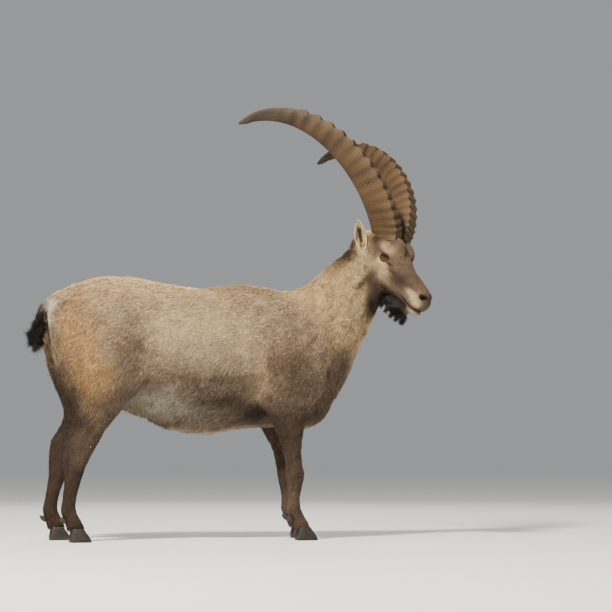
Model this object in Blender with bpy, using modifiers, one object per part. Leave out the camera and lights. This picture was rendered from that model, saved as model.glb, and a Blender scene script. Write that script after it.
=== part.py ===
"""A life-size alpine ibex buck, standing, with its head turned towards its right side.

The flesh is modelled whole, from lofts that follow the trunk, neck, head and legs, fused by a
remesh, and is then parted with thin cuts into head, neck, torso, tail and legs. Horns, eyes,
ears, hooves, dewclaws, beard and tail brush are bodies of their own, let into the flesh.
Metres, +X to where the trunk points, +Y to the animal's left, +Z up, hooves on Z = 0.
"""

import math
import random

import bmesh
import bpy
from mathutils import Euler, Matrix, Vector

# The gap that touching bodies keep, and the overshoot of a cutter past what it cuts.
GAP = 0.0003

# Remesh and face budgets of the flesh.
FLESH_VOXEL = 0.0055
BODY_TRIANGLES = 4400
HEAD_TRIANGLES = 2000

# The head's own frame: x to the muzzle, y left, z to the forehead, origin between the eyes.
HEAD_AT = Vector((0.287, -0.070, 0.975))
HEAD_TURN = math.radians(50)
HEAD_DROP = math.radians(38)
HEAD_ROLL = math.radians(10)
HEAD_FRAME = (
    Matrix.Translation(HEAD_AT)
    @ Matrix.Rotation(-HEAD_TURN, 4, "Z")
    @ Matrix.Rotation(HEAD_DROP, 4, "Y")
    @ Matrix.Rotation(-HEAD_ROLL, 4, "X")
)

# Where the head is parted from the neck: a box before a plane that leans with the jaw.
NECK_FRAME = (
    HEAD_FRAME @ Matrix.Translation((-0.118, 0, 0.03)) @ Matrix.Rotation(math.radians(-21), 4, "Y")
)
NECK_BOX = ((0.0, -0.30, -0.30), (0.50, 0.30, 0.26))

# Eyes, in the head's frame.
EYE_CENTRE = Vector((0.0145, -0.0500, -0.0120))
EYE_RADIUS = 0.0172
EYE_LOOK = Vector((0.34, -0.93, 0.04)).normalized()
EYE_SLIT = Vector((0.92, 0.34, 0.20)).normalized()
LID_THICKNESS = 0.0030
LID_OPENING = (0.0172, 0.0088)

# Horns: the curve of the outer front edge, as its heading in the head's side view.
HORN_LENGTH = 0.832
HORN_ROOT = Vector((0.000, 0.0738))
HORN_ROOT_Y = 0.056
HORN_SUNK = 0.036
HORN_HEADING = tuple(math.radians(a) for a in (123.2, 165.4, -193.7, 167.2))
HORN_SPREAD = (0.345, -0.117)
HORN_WIDTH = 0.053
HORN_DEPTH = 0.108
HORN_KNOBS = 15
HORN_KNOB_HEIGHT = 0.010

# Ears, in the head's frame.
EAR_ROOT = Vector((-0.063, -0.068, -0.044))
EAR_ALONG = Vector((-0.66, -0.34, 0.72)).normalized()
EAR_FACES = Vector((0.62, -0.78, 0.0))
EAR_LENGTH = 0.106
# Rows of share of the length, half width, half turn of the roll and hollow share of its radius.
EAR_PROFILE = (
    (-0.16, 0.0105, 150, 0.12),
    (-0.02, 0.0135, 148, 0.16),
    (0.10, 0.0165, 135, 0.52),
    (0.24, 0.0200, 118, 0.76),
    (0.42, 0.0222, 104, 0.80),
    (0.60, 0.0205, 96, 0.80),
    (0.78, 0.0150, 90, 0.74),
    (0.92, 0.0080, 88, 0.60),
    (1.00, 0.0030, 88, 0.45),
)

# Each station is (x, z) of its upper end, (x, z) of its lower end, y of each end, the turn of
# its plane about Z in degrees, and the half widths at its upper, middle and lower level.
TRUNK = (
    ((-0.900, 0.792), (-0.892, 0.690), 0, 0, 0, 0.030, 0.045, 0.035),
    ((-0.878, 0.828), (-0.872, 0.600), 0, 0, 0, 0.060, 0.092, 0.070),
    ((-0.810, 0.862), (-0.800, 0.500), 0, 0, 0, 0.092, 0.138, 0.090),
    ((-0.730, 0.887), (-0.720, 0.455), 0, 0, 0, 0.108, 0.160, 0.098),
    ((-0.640, 0.893), (-0.640, 0.435), 0, 0, 0, 0.106, 0.160, 0.100),
    ((-0.550, 0.882), (-0.550, 0.402), 0, 0, 0, 0.105, 0.172, 0.115),
    ((-0.450, 0.866), (-0.460, 0.364), 0, 0, 0, 0.110, 0.190, 0.130),
    ((-0.350, 0.858), (-0.350, 0.357), 0, 0, 0, 0.108, 0.196, 0.134),
    ((-0.240, 0.873), (-0.240, 0.370), 0, 0, 0, 0.088, 0.182, 0.122),
    ((-0.150, 0.867), (-0.130, 0.380), 0, 0, 0, 0.080, 0.160, 0.098),
    ((-0.080, 0.850), (-0.020, 0.372), 0, 0, 0, 0.080, 0.140, 0.076),
    ((-0.010, 0.830), (0.045, 0.392), 0, 0, 0, 0.078, 0.122, 0.066),
    ((0.050, 0.780), (0.096, 0.460), 0, 0, 0, 0.064, 0.092, 0.060),
    ((0.100, 0.700), (0.138, 0.540), 0, 0, 0, 0.040, 0.056, 0.040),
)
NECK = (
    ((-0.160, 0.858), (0.110, 0.480), 0, 0, 0, 0.060, 0.130, 0.090),
    ((-0.095, 0.852), (0.155, 0.570), 0, 0, 2, 0.060, 0.120, 0.084),
    ((-0.036, 0.860), (0.186, 0.640), 0, 0, 8, 0.052, 0.106, 0.080),
    ((0.024, 0.896), (0.214, 0.700), 0, -0.006, 15, 0.046, 0.094, 0.074),
    ((0.078, 0.942), (0.232, 0.752), -0.006, -0.024, 25, 0.044, 0.084, 0.066),
    ((0.128, 0.986), (0.246, 0.798), -0.016, -0.048, 35, 0.042, 0.074, 0.056),
    ((0.180, 1.026), (0.264, 0.846), -0.024, -0.066, 44, 0.040, 0.066, 0.046),
    ((0.222, 1.044), (0.288, 0.890), -0.032, -0.076, 50, 0.034, 0.056, 0.036),
)
SHOULDER_AND_FORELEG = (
    ((-0.100, 0.815), (-0.205, 0.800), 0.060, 0.060, 0, 0.024, 0.036, 0.024),
    ((-0.030, 0.720), (-0.230, 0.690), 0.098, 0.098, 0, 0.040, 0.055, 0.040),
    ((0.040, 0.600), (-0.222, 0.560), 0.116, 0.116, 0, 0.044, 0.058, 0.042),
    ((0.030, 0.510), (-0.198, 0.470), 0.122, 0.120, 0, 0.040, 0.054, 0.038),
    ((-0.020, 0.430), (-0.160, 0.412), 0.118, 0.116, 0, 0.034, 0.045, 0.032),
    ((-0.036, 0.370), (-0.132, 0.356), 0.112, 0.112, 0, 0.028, 0.036, 0.026),
    ((-0.040, 0.310), (-0.110, 0.305), 0.108, 0.108, 0, 0.022, 0.030, 0.021),
    ((-0.038, 0.262), (-0.101, 0.262), 0.104, 0.104, 0, 0.020, 0.0265, 0.019),
    ((-0.031, 0.226), (-0.099, 0.222), 0.102, 0.102, 0, 0.023, 0.0285, 0.020),
    ((-0.037, 0.186), (-0.095, 0.186), 0.101, 0.101, 0, 0.018, 0.0235, 0.016),
    ((-0.045, 0.140), (-0.090, 0.140), 0.100, 0.100, 0, 0.014, 0.0190, 0.014),
    ((-0.041, 0.104), (-0.094, 0.098), 0.100, 0.100, 0, 0.019, 0.0250, 0.018),
    ((-0.026, 0.074), (-0.076, 0.058), 0.100, 0.100, 0, 0.019, 0.0245, 0.018),
    ((-0.010, 0.050), (-0.062, 0.030), 0.100, 0.100, 0, 0.020, 0.0250, 0.019),
)
HAUNCH_AND_HINDLEG = (
    ((-0.610, 0.846), (-0.850, 0.806), 0.060, 0.060, 0, 0.034, 0.046, 0.030),
    ((-0.560, 0.740), (-0.898, 0.716), 0.094, 0.088, 0, 0.048, 0.064, 0.044),
    ((-0.530, 0.630), (-0.894, 0.622), 0.110, 0.096, 0, 0.050, 0.070, 0.048),
    ((-0.560, 0.532), (-0.866, 0.540), 0.118, 0.104, 0, 0.046, 0.064, 0.044),
    ((-0.634, 0.458), (-0.836, 0.476), 0.120, 0.112, 0, 0.038, 0.052, 0.036),
    ((-0.690, 0.396), (-0.818, 0.420), 0.120, 0.116, 0, 0.030, 0.041, 0.027),
    ((-0.728, 0.336), (-0.832, 0.376), 0.118, 0.118, 0, 0.025, 0.033, 0.018),
    ((-0.756, 0.288), (-0.852, 0.340), 0.117, 0.117, 0, 0.025, 0.031, 0.018),
    ((-0.776, 0.246), (-0.857, 0.290), 0.115, 0.115, 0, 0.021, 0.027, 0.017),
    ((-0.792, 0.196), (-0.852, 0.214), 0.113, 0.113, 0, 0.016, 0.0215, 0.016),
    ((-0.805, 0.146), (-0.855, 0.150), 0.112, 0.112, 0, 0.014, 0.0190, 0.014),
    ((-0.806, 0.106), (-0.862, 0.102), 0.112, 0.112, 0, 0.018, 0.0245, 0.018),
    ((-0.792, 0.076), (-0.846, 0.060), 0.112, 0.112, 0, 0.018, 0.0240, 0.018),
    ((-0.776, 0.050), (-0.832, 0.030), 0.112, 0.112, 0, 0.019, 0.0245, 0.018),
)
TAIL = (
    ((-0.862, 0.835), (-0.858, 0.770), 0, 0, 0, 0.016, 0.024, 0.016),
    ((-0.902, 0.812), (-0.882, 0.772), 0, 0, 0, 0.014, 0.021, 0.014),
    ((-0.930, 0.776), (-0.902, 0.756), 0, 0, 0, 0.012, 0.018, 0.012),
    ((-0.942, 0.736), (-0.916, 0.728), 0, 0, 0, 0.010, 0.015, 0.010),
    ((-0.942, 0.700), (-0.924, 0.698), 0, 0, 0, 0.006, 0.010, 0.006),
)
# The head's stations, in its own frame.
SKULL = (
    ((0.230, -0.034), (0.236, -0.062), 0, 0, 0, 0.012, 0.018, 0.013),
    ((0.222, -0.018), (0.229, -0.080), 0, 0, 0, 0.021, 0.030, 0.021),
    ((0.200, -0.004), (0.206, -0.097), 0, 0, 0, 0.025, 0.037, 0.026),
    ((0.170, 0.003), (0.172, -0.103), 0, 0, 0, 0.023, 0.036, 0.027),
    ((0.132, 0.010), (0.132, -0.108), 0, 0, 0, 0.026, 0.038, 0.028),
    ((0.094, 0.022), (0.094, -0.116), 0, 0, 0, 0.034, 0.045, 0.030),
    ((0.056, 0.041), (0.056, -0.125), 0, 0, 0, 0.049, 0.055, 0.033),
    ((0.020, 0.060), (0.020, -0.131), 0, 0, 0, 0.059, 0.062, 0.037),
    ((-0.020, 0.070), (-0.020, -0.134), 0, 0, 0, 0.064, 0.069, 0.040),
    ((-0.060, 0.066), (-0.060, -0.128), 0, 0, 0, 0.060, 0.071, 0.040),
    ((-0.100, 0.044), (-0.100, -0.104), 0, 0, 0, 0.052, 0.064, 0.040),
    ((-0.138, 0.008), (-0.138, -0.070), 0, 0, 0, 0.036, 0.048, 0.034),
)
# Rounded masses on the skull: centre, half sizes and tilt about y in degrees; mirrored.
SKULL_MASSES = (
    ((0.014, -0.045, -0.006), (0.036, 0.027, 0.025), 12),
    ((0.030, -0.042, 0.026), (0.034, 0.022, 0.015), 24),
    ((0.014, -0.032, 0.038), (0.050, 0.034, 0.031), 24),
    ((-0.020, -0.040, -0.082), (0.054, 0.026, 0.044), 20),
    ((0.050, -0.038, -0.038), (0.050, 0.018, 0.020), 14),
    ((0.198, -0.019, -0.031), (0.026, 0.019, 0.019), 22),
    ((0.188, -0.021, -0.064), (0.044, 0.018, 0.017), 6),
    ((0.196, -0.010, -0.095), (0.032, 0.020, 0.014), 6),
)
# Nostrils: centre, half sizes and splay in degrees, in the head's frame.
NOSTRIL_AT = (0.2135, -0.0275, -0.0350)
NOSTRIL_SIZE = (0.0175, 0.0100, 0.0058)
NOSTRIL_SPLAY = 24
NOSTRIL_TILT = 12
# Line of the mouth: along and up, in the head's frame, its half height, and the core that it stops at.
MOUTH_LINE = ((0.150, -0.0830), (0.172, -0.0870), (0.195, -0.0885), (0.215, -0.0860), (0.250, -0.0760))
MOUTH_HALF = 0.0014
MOUTH_CORE = ((0.160, 0.0, -0.086), (0.066, 0.0265, 0.030))

# Beard and tail brush: how many locks, and their sizes.
BEARD_ROOT = Vector((0.132, 0.0, -0.108))
BEARD_HALF = 0.056
BEARD_LOCKS = 15
BEARD_LENGTH = 0.049
BRUSH_LOCKS = 12
BRUSH_LENGTH = 0.070

# Feet: where each pastern ends, and how far the left feet stand from the right ones in x.
FORE_FOOT = Vector((-0.026, -0.100))
HIND_FOOT = Vector((-0.796, -0.112))
LEFT_FORE_STEP = 0.034
LEFT_HIND_STEP = -0.040
CORONET_HEIGHT = 0.046
HOOF_LENGTH = 0.072
HOOF_HALF_WIDTH = 0.0145
CLAW_OFFSET = 0.0158


def clear_scene():
    for obj in list(bpy.data.objects):
        bpy.data.objects.remove(obj)
    for collection in list(bpy.data.collections):
        bpy.data.collections.remove(collection)


def new_collection(name):
    collection = bpy.data.collections.new(name)
    bpy.context.scene.collection.children.link(collection)
    return collection


def make_material(name, colour, roughness):
    material = bpy.data.materials.new(name)
    material.use_nodes = True
    shader = material.node_tree.nodes["Principled BSDF"]
    shader.inputs["Base Color"].default_value = (*colour, 1.0)
    shader.inputs["Roughness"].default_value = roughness
    shader.inputs["Metallic"].default_value = 0.0
    material.diffuse_color = (*colour, 1.0)
    return material


def object_from(bm, name, collection):
    bmesh.ops.triangulate(bm, faces=bm.faces)
    bmesh.ops.recalc_face_normals(bm, faces=bm.faces)
    mesh = bpy.data.meshes.new(name)
    bm.to_mesh(mesh)
    bm.free()
    obj = bpy.data.objects.new(name, mesh)
    collection.objects.link(obj)
    return obj


def applied(obj):
    """The object with its modifiers and matrix made part of its mesh."""
    bpy.context.view_layer.update()
    graph = bpy.context.evaluated_depsgraph_get()
    mesh = bpy.data.meshes.new_from_object(obj.evaluated_get(graph))
    mesh.transform(obj.matrix_world)
    obj.modifiers.clear()
    obj.data = mesh
    obj.matrix_world = Matrix.Identity(4)
    return obj


def copy_of(obj, name):
    twin = bpy.data.objects.new(name, obj.data.copy())
    obj.users_collection[0].objects.link(twin)
    return twin


def is_closed(mesh):
    bm = bmesh.new()
    bm.from_mesh(mesh)
    closed = len(bm.faces) > 3 and all(edge.is_manifold for edge in bm.edges)
    bm.free()
    return closed


def combine(obj, other, operation):
    """A Boolean of two bodies, by the second solver where the first leaves an open mesh."""
    before = obj.data
    for solver in ("EXACT", "MANIFOLD"):
        obj.data = before
        modifier = obj.modifiers.new(operation.title(), "BOOLEAN")
        modifier.operation = operation
        modifier.solver = solver
        modifier.object = other
        applied(obj)
        if is_closed(obj.data):
            break
        print("open after", operation, solver, obj.name, other.name)
    return obj


def unite(obj, pieces):
    """Joins closed pieces to a body with one Boolean union, and removes them."""
    gathered = bpy.data.collections.new("Gathered")
    bpy.context.scene.collection.children.link(gathered)
    for piece in pieces:
        for holder in list(piece.users_collection):
            holder.objects.unlink(piece)
        gathered.objects.link(piece)
    modifier = obj.modifiers.new("Join", "BOOLEAN")
    modifier.operand_type = "COLLECTION"
    modifier.solver = "EXACT"
    modifier.use_self = True
    modifier.operation = "UNION"
    modifier.collection = gathered
    applied(obj)
    for piece in pieces:
        bpy.data.objects.remove(piece)
    bpy.data.collections.remove(gathered)
    return keep_largest(obj)


def keep_largest(obj):
    """Leaves only the closed surface that holds the most, and drops loose scraps."""
    bm = bmesh.new()
    bm.from_mesh(obj.data)
    bmesh.ops.remove_doubles(bm, verts=bm.verts, dist=1e-6)
    bmesh.ops.triangulate(bm, faces=bm.faces)
    islands, seen = [], set()
    for start in bm.faces:
        if start in seen:
            continue
        island, edge_of = [], [start]
        seen.add(start)
        while edge_of:
            face = edge_of.pop()
            island.append(face)
            for edge in face.edges:
                for near in edge.link_faces:
                    if near not in seen:
                        seen.add(near)
                        edge_of.append(near)
        islands.append(island)

    def volume(faces):
        return abs(sum(f.verts[0].co.dot(f.verts[1].co.cross(f.verts[2].co)) for f in faces))

    islands.sort(key=volume)
    scraps = [face for island in islands[:-1] for face in island]
    bmesh.ops.delete(bm, geom=scraps, context="FACES")
    bm.to_mesh(obj.data)
    bm.free()
    return obj


def cut_by_plane(obj, point, normal, gap=GAP / 2):
    """Keeps what lies behind a plane, half a gap short of it, and closes the cut."""
    bm = bmesh.new()
    bm.from_mesh(obj.data)
    cut = bmesh.ops.bisect_plane(
        bm,
        geom=bm.verts[:] + bm.edges[:] + bm.faces[:],
        plane_co=point - normal.normalized() * gap,
        plane_no=normal,
        clear_outer=True,
    )
    rim = [e for e in cut["geom_cut"] if isinstance(e, bmesh.types.BMEdge)]
    bmesh.ops.holes_fill(bm, edges=rim)
    bmesh.ops.triangulate(bm, faces=bm.faces)
    bm.to_mesh(obj.data)
    bm.free()
    return obj


def box_between(low, high, name, collection, frame=None):
    bm = bmesh.new()
    bmesh.ops.create_cube(bm, size=1.0)
    size = Vector(high) - Vector(low)
    bmesh.ops.scale(bm, vec=size, verts=bm.verts)
    bmesh.ops.translate(bm, vec=(Vector(low) + Vector(high)) / 2, verts=bm.verts)
    if frame:
        bmesh.ops.transform(bm, matrix=frame, verts=bm.verts)
    return object_from(bm, name, collection)


def ellipsoid(centre, half_sizes, turn, name, collection, divisions=3):
    bm = bmesh.new()
    bmesh.ops.create_icosphere(bm, subdivisions=divisions, radius=1.0)
    bmesh.ops.scale(bm, vec=half_sizes, verts=bm.verts)
    bmesh.ops.rotate(bm, cent=(0, 0, 0), matrix=turn, verts=bm.verts)
    bmesh.ops.translate(bm, vec=centre, verts=bm.verts)
    return object_from(bm, name, collection)


def curve_value(a, b, c, d, t):
    """A value on the smooth curve through b and c, with a and d beyond them."""
    return b + 0.5 * t * (c - a + t * (2 * a - 5 * b + 4 * c - d + t * (3 * (b - c) + d - a)))


def smooth_rows(rows, steps):
    """Rows of numbers with steps of them between each two, on smooth curves."""
    made = []
    last = len(rows) - 1
    for i in range(last):
        near = [rows[max(0, min(last, i + k))] for k in (-1, 0, 1, 2)]
        for j in range(steps):
            made.append([curve_value(*values, j / steps) for values in zip(*near)])
    made.append(list(rows[-1]))
    return made


def station_rows(stations, side=1, step=0.0, step_from=0.5):
    """Stations as rows of numbers, mirrored to a side, with the foot moved on by a step."""
    rows = []
    for (xu, zu), (xl, zl), yu, yl, turn, wide_up, wide_mid, wide_low in stations:
        on_up = step * max(0.0, 1 - zu / step_from)
        on_low = step * max(0.0, 1 - zl / step_from)
        ends = [xu + on_up, side * yu, zu, xl + on_low, side * yl, zl]
        rows.append(ends + [-turn, wide_up, wide_mid, wide_low])
    return rows


RING_LEVELS = (1.0, 0.84, 0.50, 0.16, 0.0)


def ring_of(row, points_a_span=3):
    """A closed ring through the upper end, three points down each side and the lower end."""
    upper, lower = Vector(row[0:3]), Vector(row[3:6])
    across = Matrix.Rotation(math.radians(row[6]), 3, "Z") @ Vector((0, 1, 0))
    widths = (0.0, row[7], row[8], row[9], 0.0)
    left = [(lower.lerp(upper, u), w) for u, w in zip(RING_LEVELS, widths)]
    corners = [p + across * w for p, w in left]
    corners += [p - across * w for p, w in reversed(left[1:-1])]
    count = len(corners)
    ring = []
    for i in range(count):
        a, b, c, d = (corners[(i + k) % count] for k in (-1, 0, 1, 2))
        ring += [curve_value(a, b, c, d, j / points_a_span) for j in range(points_a_span)]
    return ring


def loft(rings, name, collection):
    """A closed skin over rings of equal count, with a fan over each end."""
    bm = bmesh.new()
    rows = [[bm.verts.new(p) for p in ring] for ring in rings]
    count = len(rows[0])
    for lower, upper in zip(rows, rows[1:]):
        for i in range(count):
            j = (i + 1) % count
            bm.faces.new((lower[i], lower[j], upper[j], upper[i]))
    for row in (rows[0], rows[-1]):
        middle = bm.verts.new(sum((v.co for v in row), Vector()) / count)
        for i in range(count):
            bm.faces.new((row[i], row[(i + 1) % count], middle))
    return object_from(bm, name, collection)


def body_loft(stations, name, collection, side=1, step=0.0, steps=4):
    rows = smooth_rows(station_rows(stations, side, step), steps)
    return loft([ring_of(row) for row in rows], name, collection)


def fused(pieces, name, voxel, smoothing):
    """One skin round overlapping closed pieces, with the creases between them eased."""
    bm = bmesh.new()
    for piece in pieces:
        bm.from_mesh(piece.data)
    holder = object_from(bm, name, pieces[0].users_collection[0])
    for piece in pieces:
        bpy.data.objects.remove(piece)
    remesh = holder.modifiers.new("Remesh", "REMESH")
    remesh.mode = "VOXEL"
    remesh.voxel_size = voxel
    smooth = holder.modifiers.new("Smooth", "SMOOTH")
    smooth.iterations = smoothing
    smooth.factor = 0.5
    return applied(holder)


def thinned(obj, triangles):
    modifier = obj.modifiers.new("Thin", "DECIMATE")
    modifier.ratio = triangles / sum(len(p.vertices) - 2 for p in obj.data.polygons)
    return applied(obj)


def grown(obj, amount, name):
    """A copy with its faces moved out, further at its edges and points."""
    twin = copy_of(obj, name)
    bm = bmesh.new()
    bm.from_mesh(twin.data)
    bm.normal_update()
    moves = [v.normal * amount * min(4.0, v.calc_shell_factor()) for v in bm.verts]
    for vertex, move in zip(bm.verts, moves):
        vertex.co += move
    bm.to_mesh(twin.data)
    bm.free()
    return twin


def let_in(host, guest, gap=GAP):
    """Carves room in a body for one that grows from it, a gap wider than the guest."""
    cutter = grown(guest, gap, "room")
    combine(host, cutter, "DIFFERENCE")
    bpy.data.objects.remove(cutter)
    return keep_largest(host)


def mirrored(vector, side):
    """A head-frame vector given for the right side, on the side asked for."""
    return Vector((vector[0], -side * vector[1] if side > 0 else vector[1], vector[2]))


def build_skull(work):
    pieces = [body_loft(SKULL, "skull", work)]
    for centre, half_sizes, tilt in SKULL_MASSES:
        turn = Matrix.Rotation(math.radians(tilt), 3, "Y")
        for side in (-1, 1):
            place = mirrored(centre, side)
            pieces.append(ellipsoid(place, half_sizes, turn, "mass", work))
    for piece in pieces:
        piece.data.transform(HEAD_FRAME)
    return pieces


def build_flesh(work):
    """The whole body in one skin, without the parts of horn, the eyes and the ears."""
    pieces = build_skull(work)
    pieces.append(body_loft(TRUNK, "trunk", work))
    pieces.append(body_loft(NECK, "neck", work))
    pieces.append(body_loft(TAIL, "tail", work))
    for side, fore_step, hind_step in ((-1, 0, 0), (1, LEFT_FORE_STEP, LEFT_HIND_STEP)):
        pieces.append(body_loft(SHOULDER_AND_FORELEG, "fore", work, side, fore_step))
        pieces.append(body_loft(HAUNCH_AND_HINDLEG, "hind", work, side, hind_step))
    return pieces


def horn_frames(count):
    """Along the outer front edge of a right horn: place, way on, way forward, way out."""
    frames = []
    step = HORN_LENGTH / count
    x, z = HORN_ROOT
    h0, h1, h2, h3 = HORN_HEADING
    start = -round(HORN_SUNK / step)
    x -= math.cos(h0) * HORN_SUNK
    z -= math.sin(h0) * HORN_SUNK
    for i in range(start, count + 1):
        s = i / count
        mid = max(0.0, s + 0.5 / count)
        heading = h0 + h1 * mid + h2 * mid * mid + h3 * mid**3
        slope = (HORN_SPREAD[0] + 2 * HORN_SPREAD[1] * mid) / HORN_LENGTH
        flat = math.sqrt(1 - slope * slope)
        on = Vector((math.cos(heading) * flat, -slope, math.sin(heading) * flat))
        forward = Vector((math.sin(heading), 0, -math.cos(heading)))
        out = forward.cross(on).normalized()
        if out.y > 0:
            out.negate()
        spread = HORN_SPREAD[0] * max(0.0, s) + HORN_SPREAD[1] * s * s
        frames.append((s, Vector((x, -(HORN_ROOT_Y + spread), z)), on, forward, out))
        x += on.x * step
        z += on.z * step
    return frames


def knob_rise(s):
    """How far the front of the horn stands out at s, from its row of knobs."""
    first, last = 0.015, 0.80
    if not first < s < last:
        return 0.0
    along = (s - first) / (last - first)
    phase = (along**0.78 * HORN_KNOBS) % 1.0
    shape = math.sin(math.pi * phase**0.72) ** 2
    swell = 0.62 + 0.5 * along
    return HORN_KNOB_HEIGHT * shape * swell * min(1.0, (1 - along) * 8)


def horn_section(s):
    """Half width, depth and the ring of a horn's cross section as (forward, out) shares."""
    taper = max(0.07, (1 - max(0.0, s) ** 1.25)) ** 0.53
    taper *= 1.0 if s < 0.94 else 1 - 0.72 * ((s - 0.94) / 0.06) ** 2
    return HORN_WIDTH / 2 * taper, HORN_DEPTH * taper


HORN_RING = (
    (0.00, 0.72), (-0.03, 1.00), (-0.36, 1.06), (-0.74, 0.78), (-1.00, 0.24),
    (-0.97, -0.30), (-0.70, -0.78), (-0.36, -1.00), (-0.06, -0.94), (0.00, -0.62),
)


def build_horn(side, name, work, count=60):
    rings = []
    for s, edge, _on, forward, out in horn_frames(count):
        half_width, depth = horn_section(s)
        rise = knob_rise(s) - HORN_KNOB_HEIGHT / 2 * min(1.0, max(0.0, 8 * (0.9 - s)))
        middle = edge - out * half_width * 0.94
        ring = []
        for ahead, aside in HORN_RING:
            front = max(0.0, 1 + ahead * 3.2) ** 0.7
            lift = rise * front * (1 - 0.25 * abs(aside))
            ring.append(middle + forward * (ahead * depth + lift) + out * aside * half_width)
        rings.append([mirrored(p, side) for p in ring])
    horn = loft(rings, name, work)
    horn.data.transform(HEAD_FRAME)
    return horn


def build_ear(side, name, work):
    """A leaf rolled into a cup, open to the front and side, that closes to a round root."""
    along = EAR_ALONG
    across = along.cross(EAR_FACES).normalized()
    opening = across.cross(along).normalized()
    sides = 6
    rings = []
    for t, half_width, curl, hollow in EAR_PROFILE:
        curl = math.radians(curl)
        radius = half_width / math.sin(min(curl, math.pi / 2))
        back = opening * (0.010 * math.sin(math.pi * max(0.0, t)))
        middle = EAR_ROOT + along * (EAR_LENGTH * t) - back + opening * radius * 0.35
        arc = []
        for j in range(sides + 1):
            angle = curl * (2 * j / sides - 1)
            arc.append((across * math.sin(angle) - opening * math.cos(angle)) * radius)
        ring = [middle + p for p in arc] + [middle + p * hollow for p in reversed(arc)]
        rings.append([mirrored(p, side) for p in ring])
    ear = loft(rings, name, work)
    ear.data.transform(HEAD_FRAME)
    return ear


def ball(side, radius, name, work, sides=16):
    """A ball round the eye's centre, finest where it looks out, in the head's place."""
    slit, across, look = lid_frame(side).transposed()
    centre = mirrored(EYE_CENTRE, side)
    rings = []
    for angle in (8, 22, 38, 56, 78, 106, 136, 164):
        ahead, aside = math.cos(math.radians(angle)), math.sin(math.radians(angle))
        ring = []
        for i in range(sides):
            turn = math.tau * i / sides
            out = slit * math.cos(turn) + across * math.sin(turn)
            ring.append(centre + (look * ahead + out * aside) * radius)
        rings.append(ring)
    made = loft(rings, name, work)
    made.data.transform(HEAD_FRAME)
    return made


def build_eye(side, name, work):
    return ball(side, EYE_RADIUS, name, work)


def lid_frame(side):
    """Axes of the slit between the lids: along it, across it, and the way the eye looks."""
    look = mirrored(EYE_LOOK, side)
    slit = mirrored(EYE_SLIT, side)
    slit = (slit - look * slit.dot(look)).normalized()
    across = look.cross(slit)
    return Matrix((slit, across, look)).transposed()


def add_lids(head, work):
    """A shell over each eyeball, opened along the slit, so that both lids stand proud."""
    for side in (-1, 1):
        centre = HEAD_FRAME @ mirrored(EYE_CENTRE, side)
        turn = HEAD_FRAME.to_3x3() @ lid_frame(side)
        shell = ball(side, EYE_RADIUS + LID_THICKNESS, "lids", work)
        combine(head, shell, "UNION")
        bpy.data.objects.remove(shell)
        look = HEAD_FRAME.to_3x3() @ mirrored(EYE_LOOK, side)
        long_half, high_half = LID_OPENING
        slit = ellipsoid(
            centre + look * EYE_RADIUS, (long_half, high_half, 0.012), turn, "slit", work, 2
        )
        combine(head, slit, "DIFFERENCE")
        bpy.data.objects.remove(slit)
    return keep_largest(head)


def cut_mouth_and_nostrils(head, work):
    """The line between the lips, as a shallow groove round the muzzle, and two nostrils."""
    groove = bmesh.new()
    rows = []
    for thick in (-MOUTH_HALF, MOUTH_HALF):
        rows.append([(x, z + thick) for x, z in MOUTH_LINE])
    outline = rows[0] + list(reversed(rows[1]))
    near = [groove.verts.new((x, -0.08, z)) for x, z in outline]
    face = groove.faces.new(near)
    swept = bmesh.ops.extrude_face_region(groove, geom=[face])
    moved = [v for v in swept["geom"] if isinstance(v, bmesh.types.BMVert)]
    bmesh.ops.translate(groove, vec=(0, 0.16, 0), verts=moved)
    slot = object_from(groove, "mouth line", work)
    core = ellipsoid(*MOUTH_CORE, Matrix.Identity(3), "core", work)
    combine(slot, core, "DIFFERENCE")
    bpy.data.objects.remove(core)
    cutters = [slot]
    for side in (-1, 1):
        turn = Euler((0, math.radians(NOSTRIL_TILT), math.radians(-side * NOSTRIL_SPLAY)), "XYZ")
        place = mirrored(NOSTRIL_AT, side)
        cutters.append(ellipsoid(place, NOSTRIL_SIZE, turn.to_matrix(), "nostril", work, 2))
    for cutter in cutters:
        cutter.data.transform(HEAD_FRAME)
        combine(head, cutter, "DIFFERENCE")
        bpy.data.objects.remove(cutter)
    return keep_largest(head)


def lock(root, way, down, outward, length, width, work, bend=0.4):
    """A flat tapered lock of hair: from a sunk root along way, bending towards down."""
    way = way.normalized()
    flat = way.cross(outward).normalized()
    rings = []
    spot = Vector(root)
    shares = ((0.0, 0.85), (0.4, 1.0), (0.75, 0.68), (1.0, 0.12))
    last = 0.0
    for t, wide in shares:
        heading = (way * (1 - bend * t) + down.normalized() * bend * t).normalized()
        spot = spot + heading * (t - last) * length
        last = t
        thick = heading.cross(flat).normalized()
        a, b = flat * width / 2 * wide, thick * width * 0.20 * wide
        rings.append([spot + a, spot + b, spot - a, spot - b])
    return loft(rings, "lock", work)


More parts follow.
